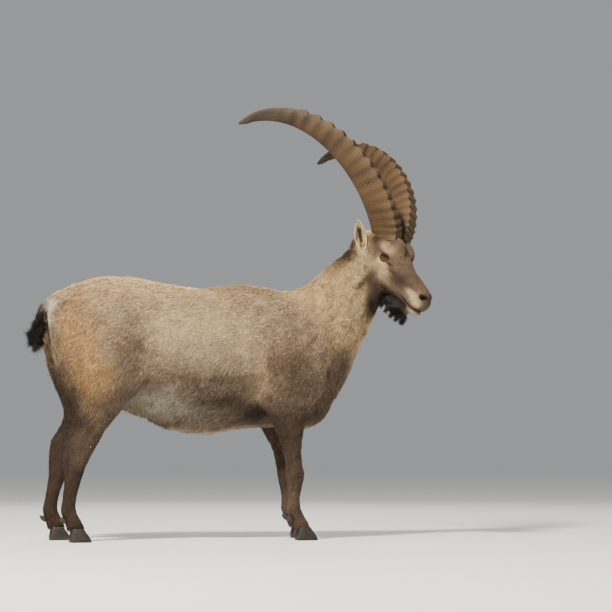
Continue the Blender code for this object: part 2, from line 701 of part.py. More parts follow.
def build_beard(name, work):
    """A short goatee: locks set along the chin in three staggered rows, drooping back."""
    seed = random.Random(11)
    core = ellipsoid(
        BEARD_ROOT - Vector((0.004, 0, 0.002)), (BEARD_HALF + 0.008, 0.018, 0.019),
        Matrix.Rotation(math.radians(-2), 3, "Y"), name, work, 2,
    )
    core.data.transform(HEAD_FRAME)
    down = (HEAD_FRAME.to_3x3().inverted() @ Vector((0, 0, -1))).normalized()
    locks = []
    for i in range(BEARD_LOCKS):
        t = i / (BEARD_LOCKS - 1)
        aside = (-1, 0, 1)[i % 3]
        at = BEARD_ROOT + Vector((BEARD_HALF * (1 - 2 * t), aside * 0.009, 0.004 * t))
        way = Vector((0.05 - 0.30 * t, aside * 0.16, -1.0))
        outward = Vector((0, 1 if aside == 0 else aside, 0))
        long = BEARD_LENGTH * (0.70 + 0.45 * math.sin(math.pi * (0.15 + 0.62 * t)))
        size = long * seed.uniform(0.92, 1.06)
        piece = lock(at, way, down, outward, size, 0.026, work)
        piece.data.transform(HEAD_FRAME)
        locks.append(piece)
    return core, locks


def build_brush(work):
    """The hair of the tail, as locks in rings down its length that lie towards its tip."""
    seed = random.Random(5)
    rows = station_rows(TAIL)
    locks = []
    for i in range(BRUSH_LOCKS):
        t = 1.3 + 2.6 * (i / (BRUSH_LOCKS - 1))
        k = min(int(t), len(rows) - 2)
        row = [a + (b - a) * (t - k) for a, b in zip(rows[k], rows[k + 1])]
        upper, lower = Vector(row[0:3]), Vector(row[3:6])
        turn = 2.399 * i
        outward = Vector((0, math.sin(turn), 0)) + (upper - lower).normalized() * math.cos(turn)
        aside = Vector((0, 1, 0)) * math.sin(turn) * row[8] * 0.55
        back = (upper - lower) * 0.28 * math.cos(turn)
        at = (upper + lower) / 2 + aside + back
        way = Vector((-0.30 + 0.25 * (t - 2), 0, -1)) + outward * 0.22
        size = BRUSH_LENGTH * seed.uniform(0.8, 1.0)
        locks.append(lock(at, way, Vector((0.12, 0, -1)), outward, size, 0.022, work, 0.5))
    return locks


def build_hoof(foot, side, claw, name, work):
    """One claw of a cloven hoof: flat sole, steep front, a flat top below the hair line."""
    x, y = foot
    y = -y * side if side > 0 else y
    outer = claw * side
    middle = y + outer * CLAW_OFFSET
    half = HOOF_HALF_WIDTH
    heel, toe = x - HOOF_LENGTH * 0.46, x + HOOF_LENGTH * 0.54
    profile = (
        (heel, toe, 0.92, 0.0),
        (heel - 0.001, toe - 0.004, 1.0, 0.30),
        (heel + 0.004, toe - 0.021, 0.94, 0.78),
        (heel + 0.008, toe - 0.031, 0.86, 1.12),
    )
    rings = []
    for back, front, wide, high in profile:
        length = front - back
        shape = (
            (0.00, 0.55), (0.06, 0.86), (0.32, 1.0), (0.64, 0.92), (0.88, 0.62), (1.0, 0.20),
            (1.0, -0.62), (0.80, -0.72), (0.40, -0.78), (0.06, -0.72),
        )
        ring = []
        for share, aside in shape:
            z = CORONET_HEIGHT * high
            ring.append(Vector((back + length * share, middle + outer * half * wide * aside, z)))
        rings.append(ring)
    return loft(rings, name, work)


def build_dewclaw(foot, side, claw, name, work):
    x, y = foot
    y = -y * side if side > 0 else y
    centre = Vector((x - 0.0550, y + claw * side * 0.0125, 0.073))
    turn = Matrix.Rotation(math.radians(48), 3, "Y")
    rings = []
    for share, size in ((-1.0, 0.45), (-0.5, 0.88), (0.1, 1.0), (0.7, 0.74), (1.0, 0.35)):
        ring = []
        for i in range(6):
            angle = math.tau * i / 6
            aside = Vector((0, math.cos(angle) * 0.0072, math.sin(angle) * 0.0084)) * size
            ring.append(centre + turn @ (aside + Vector((share * 0.0125, 0, 0))))
        rings.append(ring)
    return loft(rings, name, work)


def part_off(body, low, high, name, work):
    """Cuts the share of the body that lies in a box off as a body of its own."""
    low, high = Vector(low), Vector(high)
    inside = box_between(low, high, "inside", work)
    outside = box_between(low - Vector((GAP,) * 3), high + Vector((GAP,) * 3), "outside", work)
    piece = copy_of(body, name)
    combine(piece, inside, "INTERSECT")
    combine(body, outside, "DIFFERENCE")
    bpy.data.objects.remove(inside)
    bpy.data.objects.remove(outside)
    keep_largest(body)
    return keep_largest(piece)


def split_by_plane(body, point, normal, name):
    """Splits a body: what lies before the plane becomes a new body."""
    piece = copy_of(body, name)
    cut_by_plane(piece, point, -normal)
    cut_by_plane(body, point, normal)
    keep_largest(body)
    return keep_largest(piece)


def finish_node(obj, name, part, material, smooth_angle):
    obj.name = name
    obj.data.name = name
    obj.data.materials.clear()
    obj.data.materials.append(material)
    for holder in list(obj.users_collection):
        holder.objects.unlink(obj)
    part.objects.link(obj)
    obj.data.shade_smooth()
    obj.data.set_sharp_from_angle(angle=math.radians(smooth_angle))


def main():
    clear_scene()
    work = new_collection("Workshop")
    part = new_collection("Alpine ibex")
    coat = make_material("coat", (0.36, 0.28, 0.21), 0.85)
    dark_coat = make_material("dark coat", (0.10, 0.075, 0.06), 0.85)
    horn_stuff = make_material("horn", (0.30, 0.21, 0.13), 0.55)
    hoof_stuff = make_material("hoof", (0.06, 0.05, 0.045), 0.5)
    eye_stuff = make_material("eye", (0.42, 0.20, 0.04), 0.1)
    nodes = {}

    flesh = fused(build_flesh(work), "flesh", FLESH_VOXEL, 6)
    head = copy_of(flesh, "head")
    for piece, reach, triangles in ((head, 0.02, HEAD_TRIANGLES), (flesh, -0.02, BODY_TRIANGLES)):
        for margin in (reach, 0.0):
            short = -GAP / 2 if piece is head else GAP / 2
            low = Vector(NECK_BOX[0]) - Vector((margin + short, 0, 0))
            room = box_between(low, NECK_BOX[1], "room", work, NECK_FRAME)
            combine(piece, room, "INTERSECT" if piece is head else "DIFFERENCE")
            bpy.data.objects.remove(room)
            keep_largest(piece)
            if margin:
                thinned(piece, triangles)
    nodes["head"] = head
    body = flesh

    withers, breast = Vector((-0.085, 0, 0.86)), Vector((0.165, 0, 0.60))
    neck_way = (breast - withers).cross(Vector((0, 1, 0))).normalized()
    if neck_way.x < 0:
        neck_way.negate()
    nodes["neck"] = split_by_plane(body, withers, neck_way, "neck")
    nodes["tail"] = part_off(body, (-1.1, -0.05, 0.66), (-0.9005, 0.05, 0.86), "tail", work)

    for side, word in ((-1, "right"), (1, "left")):
        inner, outer = sorted((side * 0.052, side * 0.40))
        fore = part_off(body, (-0.27, inner, -0.1), (0.16, outer, 0.435), "fore", work)
        inner, outer = sorted((side * 0.040, side * 0.40))
        hind = part_off(body, (-1.1, inner, -0.1), (-0.47, outer, 0.505), "hind", work)
        for piece, upper_word, lower_word, point, normal in (
            (fore, "foreleg_upper", "foreleg_lower", (0, 0, 0.245), (0, 0, -1)),
            (hind, "hindleg_upper", "hindleg_lower", (-0.80, 0, 0.375), (-0.35, 0, -1)),
        ):
            lower = split_by_plane(piece, Vector(point), Vector(normal), lower_word)
            cut_by_plane(lower, Vector((0, 0, CORONET_HEIGHT)), Vector((0, 0, -1)), GAP)
            nodes[f"{upper_word}_{word}"] = piece
            nodes[f"{lower_word}_{word}"] = keep_largest(lower)
    nodes["torso"] = body

    add_lids(nodes["head"], work)
    cut_mouth_and_nostrils(nodes["head"], work)
    for side, word in ((-1, "right"), (1, "left")):
        for kind, build, gap in (
            ("eye", build_eye, GAP), ("horn", build_horn, GAP), ("ear", build_ear, 2 * GAP),
        ):
            name = f"{kind}_{word}"
            nodes[name] = build(side, name, work)
            let_in(nodes["head"], nodes[name], gap)
            if kind == "ear":
                let_in(nodes["neck"], nodes[name], gap)
    beard, locks = build_beard("beard", work)
    for piece in (beard, *locks):
        let_in(nodes["head"], piece, 2 * GAP)
        let_in(nodes["neck"], piece, 2 * GAP)
    nodes["beard"] = unite(beard, locks)
    locks = build_brush(work)
    for piece in locks:
        let_in(nodes["torso"], piece, 2 * GAP)
    nodes["tail"] = unite(nodes["tail"], locks)

    feet = {
        "fore_right": (FORE_FOOT, -1, 0.0),
        "fore_left": (FORE_FOOT, 1, LEFT_FORE_STEP),
        "hind_right": (HIND_FOOT, -1, 0.0),
        "hind_left": (HIND_FOOT, 1, LEFT_HIND_STEP),
    }
    for place, (foot, side, step) in feet.items():
        end, word = place.split("_")
        foot = Vector((foot.x + step * 0.93, foot.y))
        leg = nodes[f"{end}leg_lower_{word}"]
        for claw, claw_word in ((-1, "inner"), (1, "outer")):
            name = f"hoof_{place}_{claw_word}"
            nodes[name] = build_hoof(foot, side, claw, name, work)
            top = box_between((-2, -1, CORONET_HEIGHT), (2, 1, 1), "top", work)
            combine(nodes[name], top, "DIFFERENCE")
            bpy.data.objects.remove(top)
            name = f"dewclaw_{place}_{claw_word}"
            nodes[name] = build_dewclaw(foot, side, claw, name, work)
            let_in(leg, nodes[name])

    low, high = Vector((9, 9, 9)), Vector((-9, -9, -9))
    for obj in nodes.values():
        for vertex in obj.data.vertices:
            low = Vector(map(min, low, vertex.co))
            high = Vector(map(max, high, vertex.co))
    shift = Matrix.Translation((-(low.x + high.x) / 2, -(low.y + high.y) / 2, -low.z))
    for name, obj in nodes.items():
        obj.data.transform(shift)
        stuff = coat
        if name.startswith("horn"):
            stuff = horn_stuff
        elif name.startswith(("hoof", "dewclaw")):
            stuff = hoof_stuff
        elif name.startswith("eye"):
            stuff = eye_stuff
        elif name in ("beard", "tail"):
            stuff = dark_coat
        finish_node(obj, name, part, stuff, 55)
    bpy.data.collections.remove(work)
    return shift


main()
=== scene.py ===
"""The dressed model of a standing alpine ibex.

Hide, coat, horns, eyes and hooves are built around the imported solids.
"""

from math import cos, pi, radians, sin, sqrt

import bmesh
import bpy
import numpy as np
from mathutils import Matrix, Vector
from mathutils.bvhtree import BVHTree


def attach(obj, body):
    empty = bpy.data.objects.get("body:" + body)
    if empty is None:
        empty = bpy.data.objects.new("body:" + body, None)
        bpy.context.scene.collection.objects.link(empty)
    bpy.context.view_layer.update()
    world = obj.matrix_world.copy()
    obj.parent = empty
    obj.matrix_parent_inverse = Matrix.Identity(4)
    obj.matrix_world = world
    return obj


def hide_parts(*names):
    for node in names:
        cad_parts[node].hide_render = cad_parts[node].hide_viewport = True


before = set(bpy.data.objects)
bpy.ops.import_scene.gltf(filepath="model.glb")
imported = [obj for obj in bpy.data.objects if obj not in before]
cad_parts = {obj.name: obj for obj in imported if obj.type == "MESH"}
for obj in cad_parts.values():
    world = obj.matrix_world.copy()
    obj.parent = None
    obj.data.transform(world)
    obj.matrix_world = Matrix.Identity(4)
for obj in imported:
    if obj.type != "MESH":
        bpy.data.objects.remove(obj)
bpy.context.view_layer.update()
rng = np.random.default_rng(1907)

# Hide
# The skin of the animal in one piece from the muzzle to the hooves, drawn tight over muscle and bone.
# It is fused from the solids of flesh and lies under their outside by the depth of the coat.

HEAD_AT = Vector((0.5546, -0.2242, 0.9748))
HEAD_FRAME = (
    Matrix.Translation(HEAD_AT)
    @ Matrix.Rotation(radians(-50), 4, "Z")
    @ Matrix.Rotation(radians(38), 4, "Y")
    @ Matrix.Rotation(radians(-10), 4, "X")
)
SPINE_Y = -0.1542
SIDES = (("right", -1), ("left", 1))
LIMBS = ("foreleg_upper", "foreleg_lower", "hindleg_upper", "hindleg_lower")
EARS = [f"ear_{side}" for side, _ in SIDES]
HORNS = [f"horn_{side}" for side, _ in SIDES]
EYES = [f"eye_{side}" for side, _ in SIDES]
FLESH = ["head", "neck", "torso", "tail", "beard"]
FLESH += [f"{limb}_{side}" for limb in LIMBS for side, _ in SIDES]
EAR_ROOT = Vector((-0.063, -0.068, -0.044))
EAR_ALONG = Vector((-0.66, -0.34, 0.72)).normalized()
EAR_FACES = Vector((0.62, -0.78, 0.0))
EAR_STUB = 0.012
HORN_STUB = 0.010
HORN_STUB_AT = (-0.02, 0.056, 0.070)
HORN_STUB_WAY = (-0.55, 0, 0.84)
EYE_CENTRE = Vector((0.0145, -0.0500, -0.0120))
CHIN_AT = Vector((0.136, 0, -0.119))
CHIN_REACH = (0.058, 0.015, 0.027)
HIDE_VOXEL = 0.003
EAR_VOXEL = 0.0013
HIDE_TRIANGLES = 150000
LOOSE = 1e-5
FACE_BACK = -0.09
FACE_REACH = 0.32


def mirrored(point, side):
    """A point or direction of the head's right half, on the side that is asked for."""
    return Vector((point[0], -point[1] if side > 0 else point[1], point[2]))


def in_head(point):
    return HEAD_FRAME @ Vector(point)


def head_way(direction):
    return HEAD_FRAME.to_3x3() @ Vector(direction)


def node_form(name):
    """A merged copy of a solid, because the solid's own mesh is loose triangles."""
    form = bmesh.new()
    form.from_mesh(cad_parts[name].data)
    bmesh.ops.remove_doubles(form, verts=form.verts, dist=LOOSE)
    return form


def stub(form, at, way):
    """What is left of a closed form behind a plane, closed again where it is cut."""
    every = form.verts[:] + form.edges[:] + form.faces[:]
    bmesh.ops.bisect_plane(form, geom=every, plane_co=at, plane_no=way, clear_outer=True)
    bmesh.ops.holes_fill(form, edges=[edge for edge in form.edges if edge.is_boundary])
    return form


def shown(form, name):
    """The object that carries a finished form."""
    mesh = bpy.data.meshes.new(name)
    form.to_mesh(mesh)
    form.free()
    thing = bpy.data.objects.new(name, mesh)
    bpy.context.scene.collection.objects.link(thing)
    return thing


def settled(thing):
    """The object with its modifiers applied."""
    graph = bpy.context.evaluated_depsgraph_get()
    mesh = bpy.data.meshes.new_from_object(thing.evaluated_get(graph))
    thing.modifiers.clear()
    thing.data = mesh
    return thing


def joined_form(forms):
    """One form that holds several."""
    whole = bmesh.new()
    for form in forms:
        mesh = bpy.data.meshes.new("part")
        form.to_mesh(mesh)
        form.free()
        whole.from_mesh(mesh)
        bpy.data.meshes.remove(mesh)
    return whole


def remeshed(forms, name, voxel, smoothing):
    """The forms fused into one even, closed skin of small faces."""
    thing = shown(joined_form(forms), name)
    remesh = thing.modifiers.new("fuse", "REMESH")
    remesh.mode = "VOXEL"
    remesh.voxel_size = voxel
    smooth = thing.modifiers.new("relax", "SMOOTH")
    smooth.factor = 0.5
    smooth.iterations = smoothing
    return settled(thing)


def next_ring(form, edges, ring):
    """A new ring of edges and corners drawn out of the last one, with the corners in the same order."""
    made = bmesh.ops.extrude_edge_only(form, edges=edges)["geom"]
    edges = [item for item in made if isinstance(item, bmesh.types.BMEdge)]
    fresh = {item for item in made if isinstance(item, bmesh.types.BMVert)}
    ring = [
        next(link.other_vert(vert) for link in vert.link_edges if link.other_vert(vert) in fresh)
        for vert in ring
    ]
    return edges, ring


def keep_largest(form):
    """Leaves the largest surface of a form, without the pockets that fusing seals."""
    seen = set()
    groups = []
    for first in form.verts:
        if first in seen:
            continue
        seen.add(first)
        group = [first]
        for vert in group:
            for edge in vert.link_edges:
                other = edge.other_vert(vert)
                if other not in seen:
                    seen.add(other)
                    group.append(other)
        groups.append(group)
    groups.sort(key=len, reverse=True)
    pockets = [vert for group in groups[1:] for vert in group]
    bmesh.ops.delete(form, geom=pockets, context="VERTS")


forms = [node_form(name) for name in FLESH]
for side, sign in SIDES:
    root = in_head(mirrored(EAR_ROOT, sign))
    along = head_way(mirrored(EAR_ALONG, sign))
    forms.append(stub(node_form(f"ear_{side}"), root + along * EAR_STUB, along))
    horn_way = head_way(HORN_STUB_WAY)
    horn_root = in_head(mirrored(HORN_STUB_AT, -sign))
    forms.append(stub(node_form(f"horn_{side}"), horn_root + horn_way * HORN_STUB, horn_way))
# The chin's own bulk fills the beard between its locks.
chin = bmesh.new()
bmesh.ops.create_uvsphere(chin, u_segments=24, v_segments=16, radius=1)
chin.transform(HEAD_FRAME @ Matrix.Translation(CHIN_AT) @ Matrix.Diagonal((*CHIN_REACH, 1)))
forms.append(chin)
hide = remeshed(forms, "hide", HIDE_VOXEL, 4)
places = np.empty(len(hide.data.vertices) * 3)
hide.data.vertices.foreach_get("co", places)
places = places.reshape(-1, 3)
to_head = np.array(HEAD_FRAME.inverted())
seen_from_head = places @ to_head[:3, :3].T + to_head[:3, 3]
face = seen_from_head[:, 0] > FACE_BACK
face &= np.linalg.norm(seen_from_head, axis=1) < FACE_REACH
group = hide.vertex_groups.new(name="body")
group.add(np.nonzero(~face)[0].tolist(), 1.0, "REPLACE")
thinner = hide.modifiers.new("thin", "DECIMATE")
thinner.ratio = HIDE_TRIANGLES / (2 * len(hide.data.polygons))
thinner.vertex_group = "body"
settled(hide)
form = bmesh.new()
form.from_mesh(hide.data)
keep_largest(form)
bmesh.ops.triangulate(form, faces=form.faces)
ear_form = remeshed([node_form(name) for name in EARS], "ear_forms", EAR_VOXEL, 2)
form.from_mesh(ear_form.data)
bpy.data.objects.remove(ear_form)
bmesh.ops.triangulate(form, faces=form.faces)
form.to_mesh(hide.data)
form.free()


def read(collection, key, width, kind=float):
    values = np.empty(len(collection) * width, kind)
    collection.foreach_get(key, values)
    return values.reshape(-1, width) if width > 1 else values


edges = read(hide.data.edges, "vertices", 2, int)
joints_of = np.bincount(edges.ravel(), minlength=len(hide.data.vertices)).astype(float)


def spread(values, rounds):
    """Values on the hide's points, each time averaged with their neighbours."""
    values = values.astype(float)
    flat = values.reshape(len(values), -1)
    for _ in range(rounds):
        total = flat.copy()
        for column in range(flat.shape[1]):
            total[:, column] += np.bincount(edges[:, 0], flat[edges[:, 1], column], len(flat))
            total[:, column] += np.bincount(edges[:, 1], flat[edges[:, 0], column], len(flat))
        flat = total / (joints_of + 1)[:, None]
    return flat.reshape(values.shape)


def unit(vectors):
    return vectors / np.maximum(np.linalg.norm(vectors, axis=-1, keepdims=True), 1e-9)


def ripple(points, size, seed):
    """A soft random field between about minus one and one, whose lumps are as wide as size."""
    waves = np.random.default_rng(seed)
    total = np.zeros(len(points))
    count = 14
    for _ in range(count):
        way = unit(waves.normal(size=3)) * 2 * pi / (size * waves.uniform(1.3, 3.2))
        total += np.sin(points @ way + waves.uniform(0, 2 * pi))
    return total / sqrt(count) * 0.9


# The part of the body that each point of the hide belongs to, from the nearest solid.
region_names = FLESH + EARS + HORNS + EYES
corners = []
triples = []
owner = []
for number, name in enumerate(region_names):
    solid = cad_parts[name].data
    start = len(corners)
    corners.extend(vert.co.copy() for vert in solid.vertices)
    triples.extend([start + i for i in poly.vertices] for poly in solid.polygons)
    owner.extend([number] * len(solid.polygons))
tree = BVHTree.FromPolygons(corners, triples)
points = read(hide.data.vertices, "co", 3)
label = np.array([owner[tree.find_nearest(Vector(point))[2]] for point in points])
normals = read(hide.data.vertex_normals, "vector", 3)


def region(*names):
    """One where a point belongs to one of these solids, and nought elsewhere."""
    return np.isin(label, [region_names.index(name) for name in names]).astype(float)


on_horn = region(*HORNS)
parts = {
    "head": region("head", *EYES) + on_horn,
    "ear": region(*EARS),
    "neck": region("neck"),
    "torso": region("torso"),
    "tail": region("tail"),
    "beard": region("beard"),
    "fore": region("foreleg_upper_right", "foreleg_upper_left"),
    "hind": region("hindleg_upper_right", "hindleg_upper_left"),
    "shin": region("foreleg_lower_right", "foreleg_lower_left"),
    "hock": region("hindleg_lower_right", "hindleg_lower_left"),
}
soft = {name: spread(values, 14) for name, values in parts.items()}
total = sum(soft.values())
soft = {name: values / total for name, values in soft.items()}

x, y, z = points.T
aside = np.abs(y - SPINE_Y)
face_at = points @ to_head[:3, :3].T + to_head[:3, 3]
face_x, face_y, face_z = face_at.T
face_aside = np.abs(face_y)


def rise(values, low, high):
    """From nought below low to one above high, smoothly."""
    share = np.clip((values - low) / (high - low), 0, 1)
    return share * share * (3 - 2 * share)


# The neck's longer hair begins behind the jaw, ahead of the joint between the two solids.
behind_jaw = 1 - rise(face_x + 0.045 - 0.6 * np.maximum(0, -face_z), -0.012, 0.012)
soft["neck"] = soft["neck"] + soft["head"] * behind_jaw
soft["head"] = soft["head"] * (1 - behind_jaw)

# The beard's dark hair begins on the back of the jaw, above the joint between the two solids.
jowl = rise(face_x, 0.045, 0.075) * (1 - rise(face_x, 0.166, 0.180))
jowl *= 1 - rise(face_z, -0.104, -0.090)
soft["beard"] = soft["beard"] + soft["head"] * jowl
soft["head"] = soft["head"] * (1 - jowl)

# Each part's hair: depth of the coat, length and width of a tuft, and tufts for each square centimetre.
HAIR = {
    "head": (0.0022, 0.0085, 0.0011, 24.0),
    "ear": (0.0006, 0.0080, 0.0010, 26.0),
    "neck": (0.0060, 0.0190, 0.0019, 9.5),
    "torso": (0.0060, 0.0170, 0.0019, 9.5),
    "tail": (0.0090, 0.0300, 0.0018, 16.0),
    "beard": (0.0045, 0.0170, 0.0015, 36.0),
    "fore": (0.0040, 0.0125, 0.0015, 11.0),
    "hind": (0.0045, 0.0140, 0.0016, 10.5),
    "shin": (0.0022, 0.0080, 0.0012, 13.0),
    "hock": (0.0022, 0.0080, 0.0012, 13.0),
}
depth, length, width, density = (
    sum(soft[name] * HAIR[name][column] for name in HAIR) for column in range(4)
)
belly = soft["torso"] * (1 - rise(z, 0.42, 0.50)) * rise(0.06 - x, 0, 0.08)
belly *= 1 - rise(aside, 0.09, 0.14)
belly += 0.8 * soft["torso"] * (1 - rise(z, 0.43, 0.56)) * (1 - rise(x, -0.12, 0.02))
belly = np.clip(belly, 0, 1)
nape = soft["neck"] * (1 - rise(aside, 0.02, 0.05)) * (1 - rise(x, 0.44, 0.50))
length *= 1 + 0.9 * belly + 0.35 * nape
length *= 1 + 0.18 * ripple(points, 0.05, 3)
depth *= 1 + 0.5 * belly
length *= 1 + 0.6 * (1 - rise(z, 0.055, 0.080))
lip = soft["head"] * rise(face_x, 0.15, 0.21)
length *= 1 - 0.45 * lip
half_face = np.stack([face_x, face_aside, face_z], 1)
eye_gap = np.linalg.norm(half_face - np.array(mirrored(EYE_CENTRE, 1)), axis=1)
near_eye = 1 - rise(eye_gap, 0.017, 0.032)
depth *= 1 - 0.9 * near_eye
length *= 1 - 0.5 * near_eye

# Each part's lie: the hair runs from the nose over the face and down the neck, back along the trunk,
# and down each leg.
head_turn = np.array(HEAD_FRAME.to_3x3())


def lie_of(name):
    one = np.ones(len(points))
    if name == "head":
        low = 1 - rise(face_z, -0.08, 0.02)
        ways = np.stack([-one, 0.25 * np.sign(face_y), 0.35 * (1 - low) - 0.25 * low], 1)
        return unit(ways) @ head_turn.T
    if name == "ear":
        along = np.where(face_y[:, None] < 0, np.array(EAR_ALONG), np.array(mirrored(EAR_ALONG, 1)))
        return along @ head_turn.T
    if name == "neck":
        crest = rise(normals[:, 2], 0.3, 0.8)
        return unit(np.stack([-0.50 - 0.5 * crest, 0 * one, -1.0 + 0.5 * crest], 1))
    if name == "torso":
        low = 1 - rise(z, 0.52, 0.86)
        chest = rise(x, 0.08, 0.30)
        rump = 1 - rise(x, -0.60, -0.42)
        down = 0.12 + 0.85 * low + 0.7 * chest + 0.9 * rump
        return unit(np.stack([-1 + 0.25 * low + 0.55 * chest + 0.5 * rump, 0 * one, -down], 1))
    if name == "tail":
        return unit(np.stack([-0.35 * one, 0 * one, -one], 1))
    if name == "beard":
        return unit(np.stack([-0.25 * one, 0.15 * one, -one], 1))
    back = -0.30 if name in ("fore", "hind") else -0.12
    return unit(np.stack([back * one, 0 * one, -one], 1))


lie = sum(soft[name][:, None] * lie_of(name) for name in HAIR)
lie = spread(lie, 10)
swirl = (0.24 * ripple(points, 0.09, 11) + 0.14 * ripple(points, 0.03, 12)) * (1 - 0.5 * soft["neck"])
lie = unit(lie - normals * np.sum(lie * normals, axis=1, keepdims=True))
cross = np.cross(normals, lie)
lie = unit(lie + cross * swirl[:, None])

# The skin sinks under the coat, and the coat's own waves lift it here and there.
wave = 0.0016 * ripple(points * (1, 1, 0.6), 0.035, 21) + 0.0010 * ripple(points, 0.016, 22)
wave *= np.clip(depth / 0.006, 0, 1.4)
points = points - normals * (depth - np.minimum(wave, depth * 0.5))[:, None]

# The nostrils and the line of the mouth are pressed into the skin, a fold is raised on it
# below the ear, and the ankles reach a little into the hooves.
COLLAR_SINK = 0.007
NOSTRIL = np.array((0.2135, 0.0275, -0.0350))
NOSTRIL_REACH = (0.0140, 0.018, 0.0075)
NOSTRIL_SLANT = 24
MOUTH_DEEP = 0.0030
NOSTRIL_DEEP = 0.0040
FOLD_HIGH = 0.0080
MOUTH = (
    (0.138, -0.0800), (0.150, -0.0830), (0.172, -0.0870),
    (0.195, -0.0885), (0.215, -0.0860), (0.250, -0.0760),
)
NECK_FOLD = ((-0.062, -0.070), (-0.030, -0.075), (-0.004, -0.105), (0.006, -0.145))


def near_line(flat, line):
    """How far points of a plane are from a line of joined stretches."""
    gap = np.full(len(flat), 9.0)
    for a, b in zip(line, line[1:]):
        a = np.array(a)
        b = np.array(b)
        share = np.clip(((flat - a) @ (b - a)) / ((b - a) @ (b - a)), 0, 1)
        gap = np.minimum(gap, np.linalg.norm(flat - a - share[:, None] * (b - a), axis=1))
    return gap


mouth_gap = near_line(np.stack([face_x, face_z], 1), MOUTH)
mouth = np.exp(-((mouth_gap / 0.0038) ** 2)) * rise(face_x, 0.130, 0.148) * (parts["head"] > 0)
fold_gap = near_line(np.stack([face_x, face_z], 1), NECK_FOLD)
fold = np.exp(-((fold_gap / 0.0095) ** 2)) * rise(face_aside, 0.045, 0.065) * (1 - soft["ear"])
fold *= (1 - rise(np.abs(face_z + 0.1), 0.045, 0.060)) * (1 - rise(face_aside, 0.10, 0.12))
off = half_face - NOSTRIL
slant = radians(NOSTRIL_SLANT)
off_long = off[:, 0] * cos(slant) + off[:, 2] * sin(slant)
off_high = off[:, 2] * cos(slant) - off[:, 0] * sin(slant)
off_share = np.stack([off_long, off[:, 1], off_high], 1) / NOSTRIL_REACH
nostril = np.exp(-(np.sum(off_share**2, axis=1) ** 1.5))
points = points - normals * (MOUTH_DEEP * mouth + NOSTRIL_DEEP * nostril - FOLD_HIGH * fold)[:, None]
points[:, 2] -= COLLAR_SINK * (1 - rise(z, 0.046, 0.062))
hide.data.vertices.foreach_set("co", points.ravel())
hide.data.update()
normals = read(hide.data.vertex_normals, "vector", 3)

# Markings and painted shade
# A buck at the end of summer: pale tan back, grey-brown flanks, dark chest and legs, whitish belly.
# Each patch is a soft spot of one shade, at a place on the body and as wide as its reach. Some patches
# and shades are painted shade: under the belly, behind and between the hind legs, beside the fold below
# the ear, on the nape and on the hind shanks.


def shade(red, green, blue):
    """A colour as light, from its red, green and blue as they are written for screens."""
    screen = np.array((red, green, blue)) / 255
    return np.where(screen <= 0.04045, screen / 12.92, ((screen + 0.055) / 1.055) ** 2.4)


TAN = shade(200, 173, 130)
BEIGE = shade(204, 181, 142)
STRAW = shade(188, 148, 92)
FAWN = shade(176, 151, 116)
GREY_BROWN = shade(160, 141, 118)
MAUVE = shade(110, 93, 80)
BROWN = shade(100, 83, 68)
UMBER = shade(78, 63, 52)
DARK = shade(56, 42, 34)
BLACK = shade(28, 23, 20)
CREAM = shade(190, 170, 138)
WHITE = shade(158, 154, 138)
SNOW = shade(222, 216, 202)

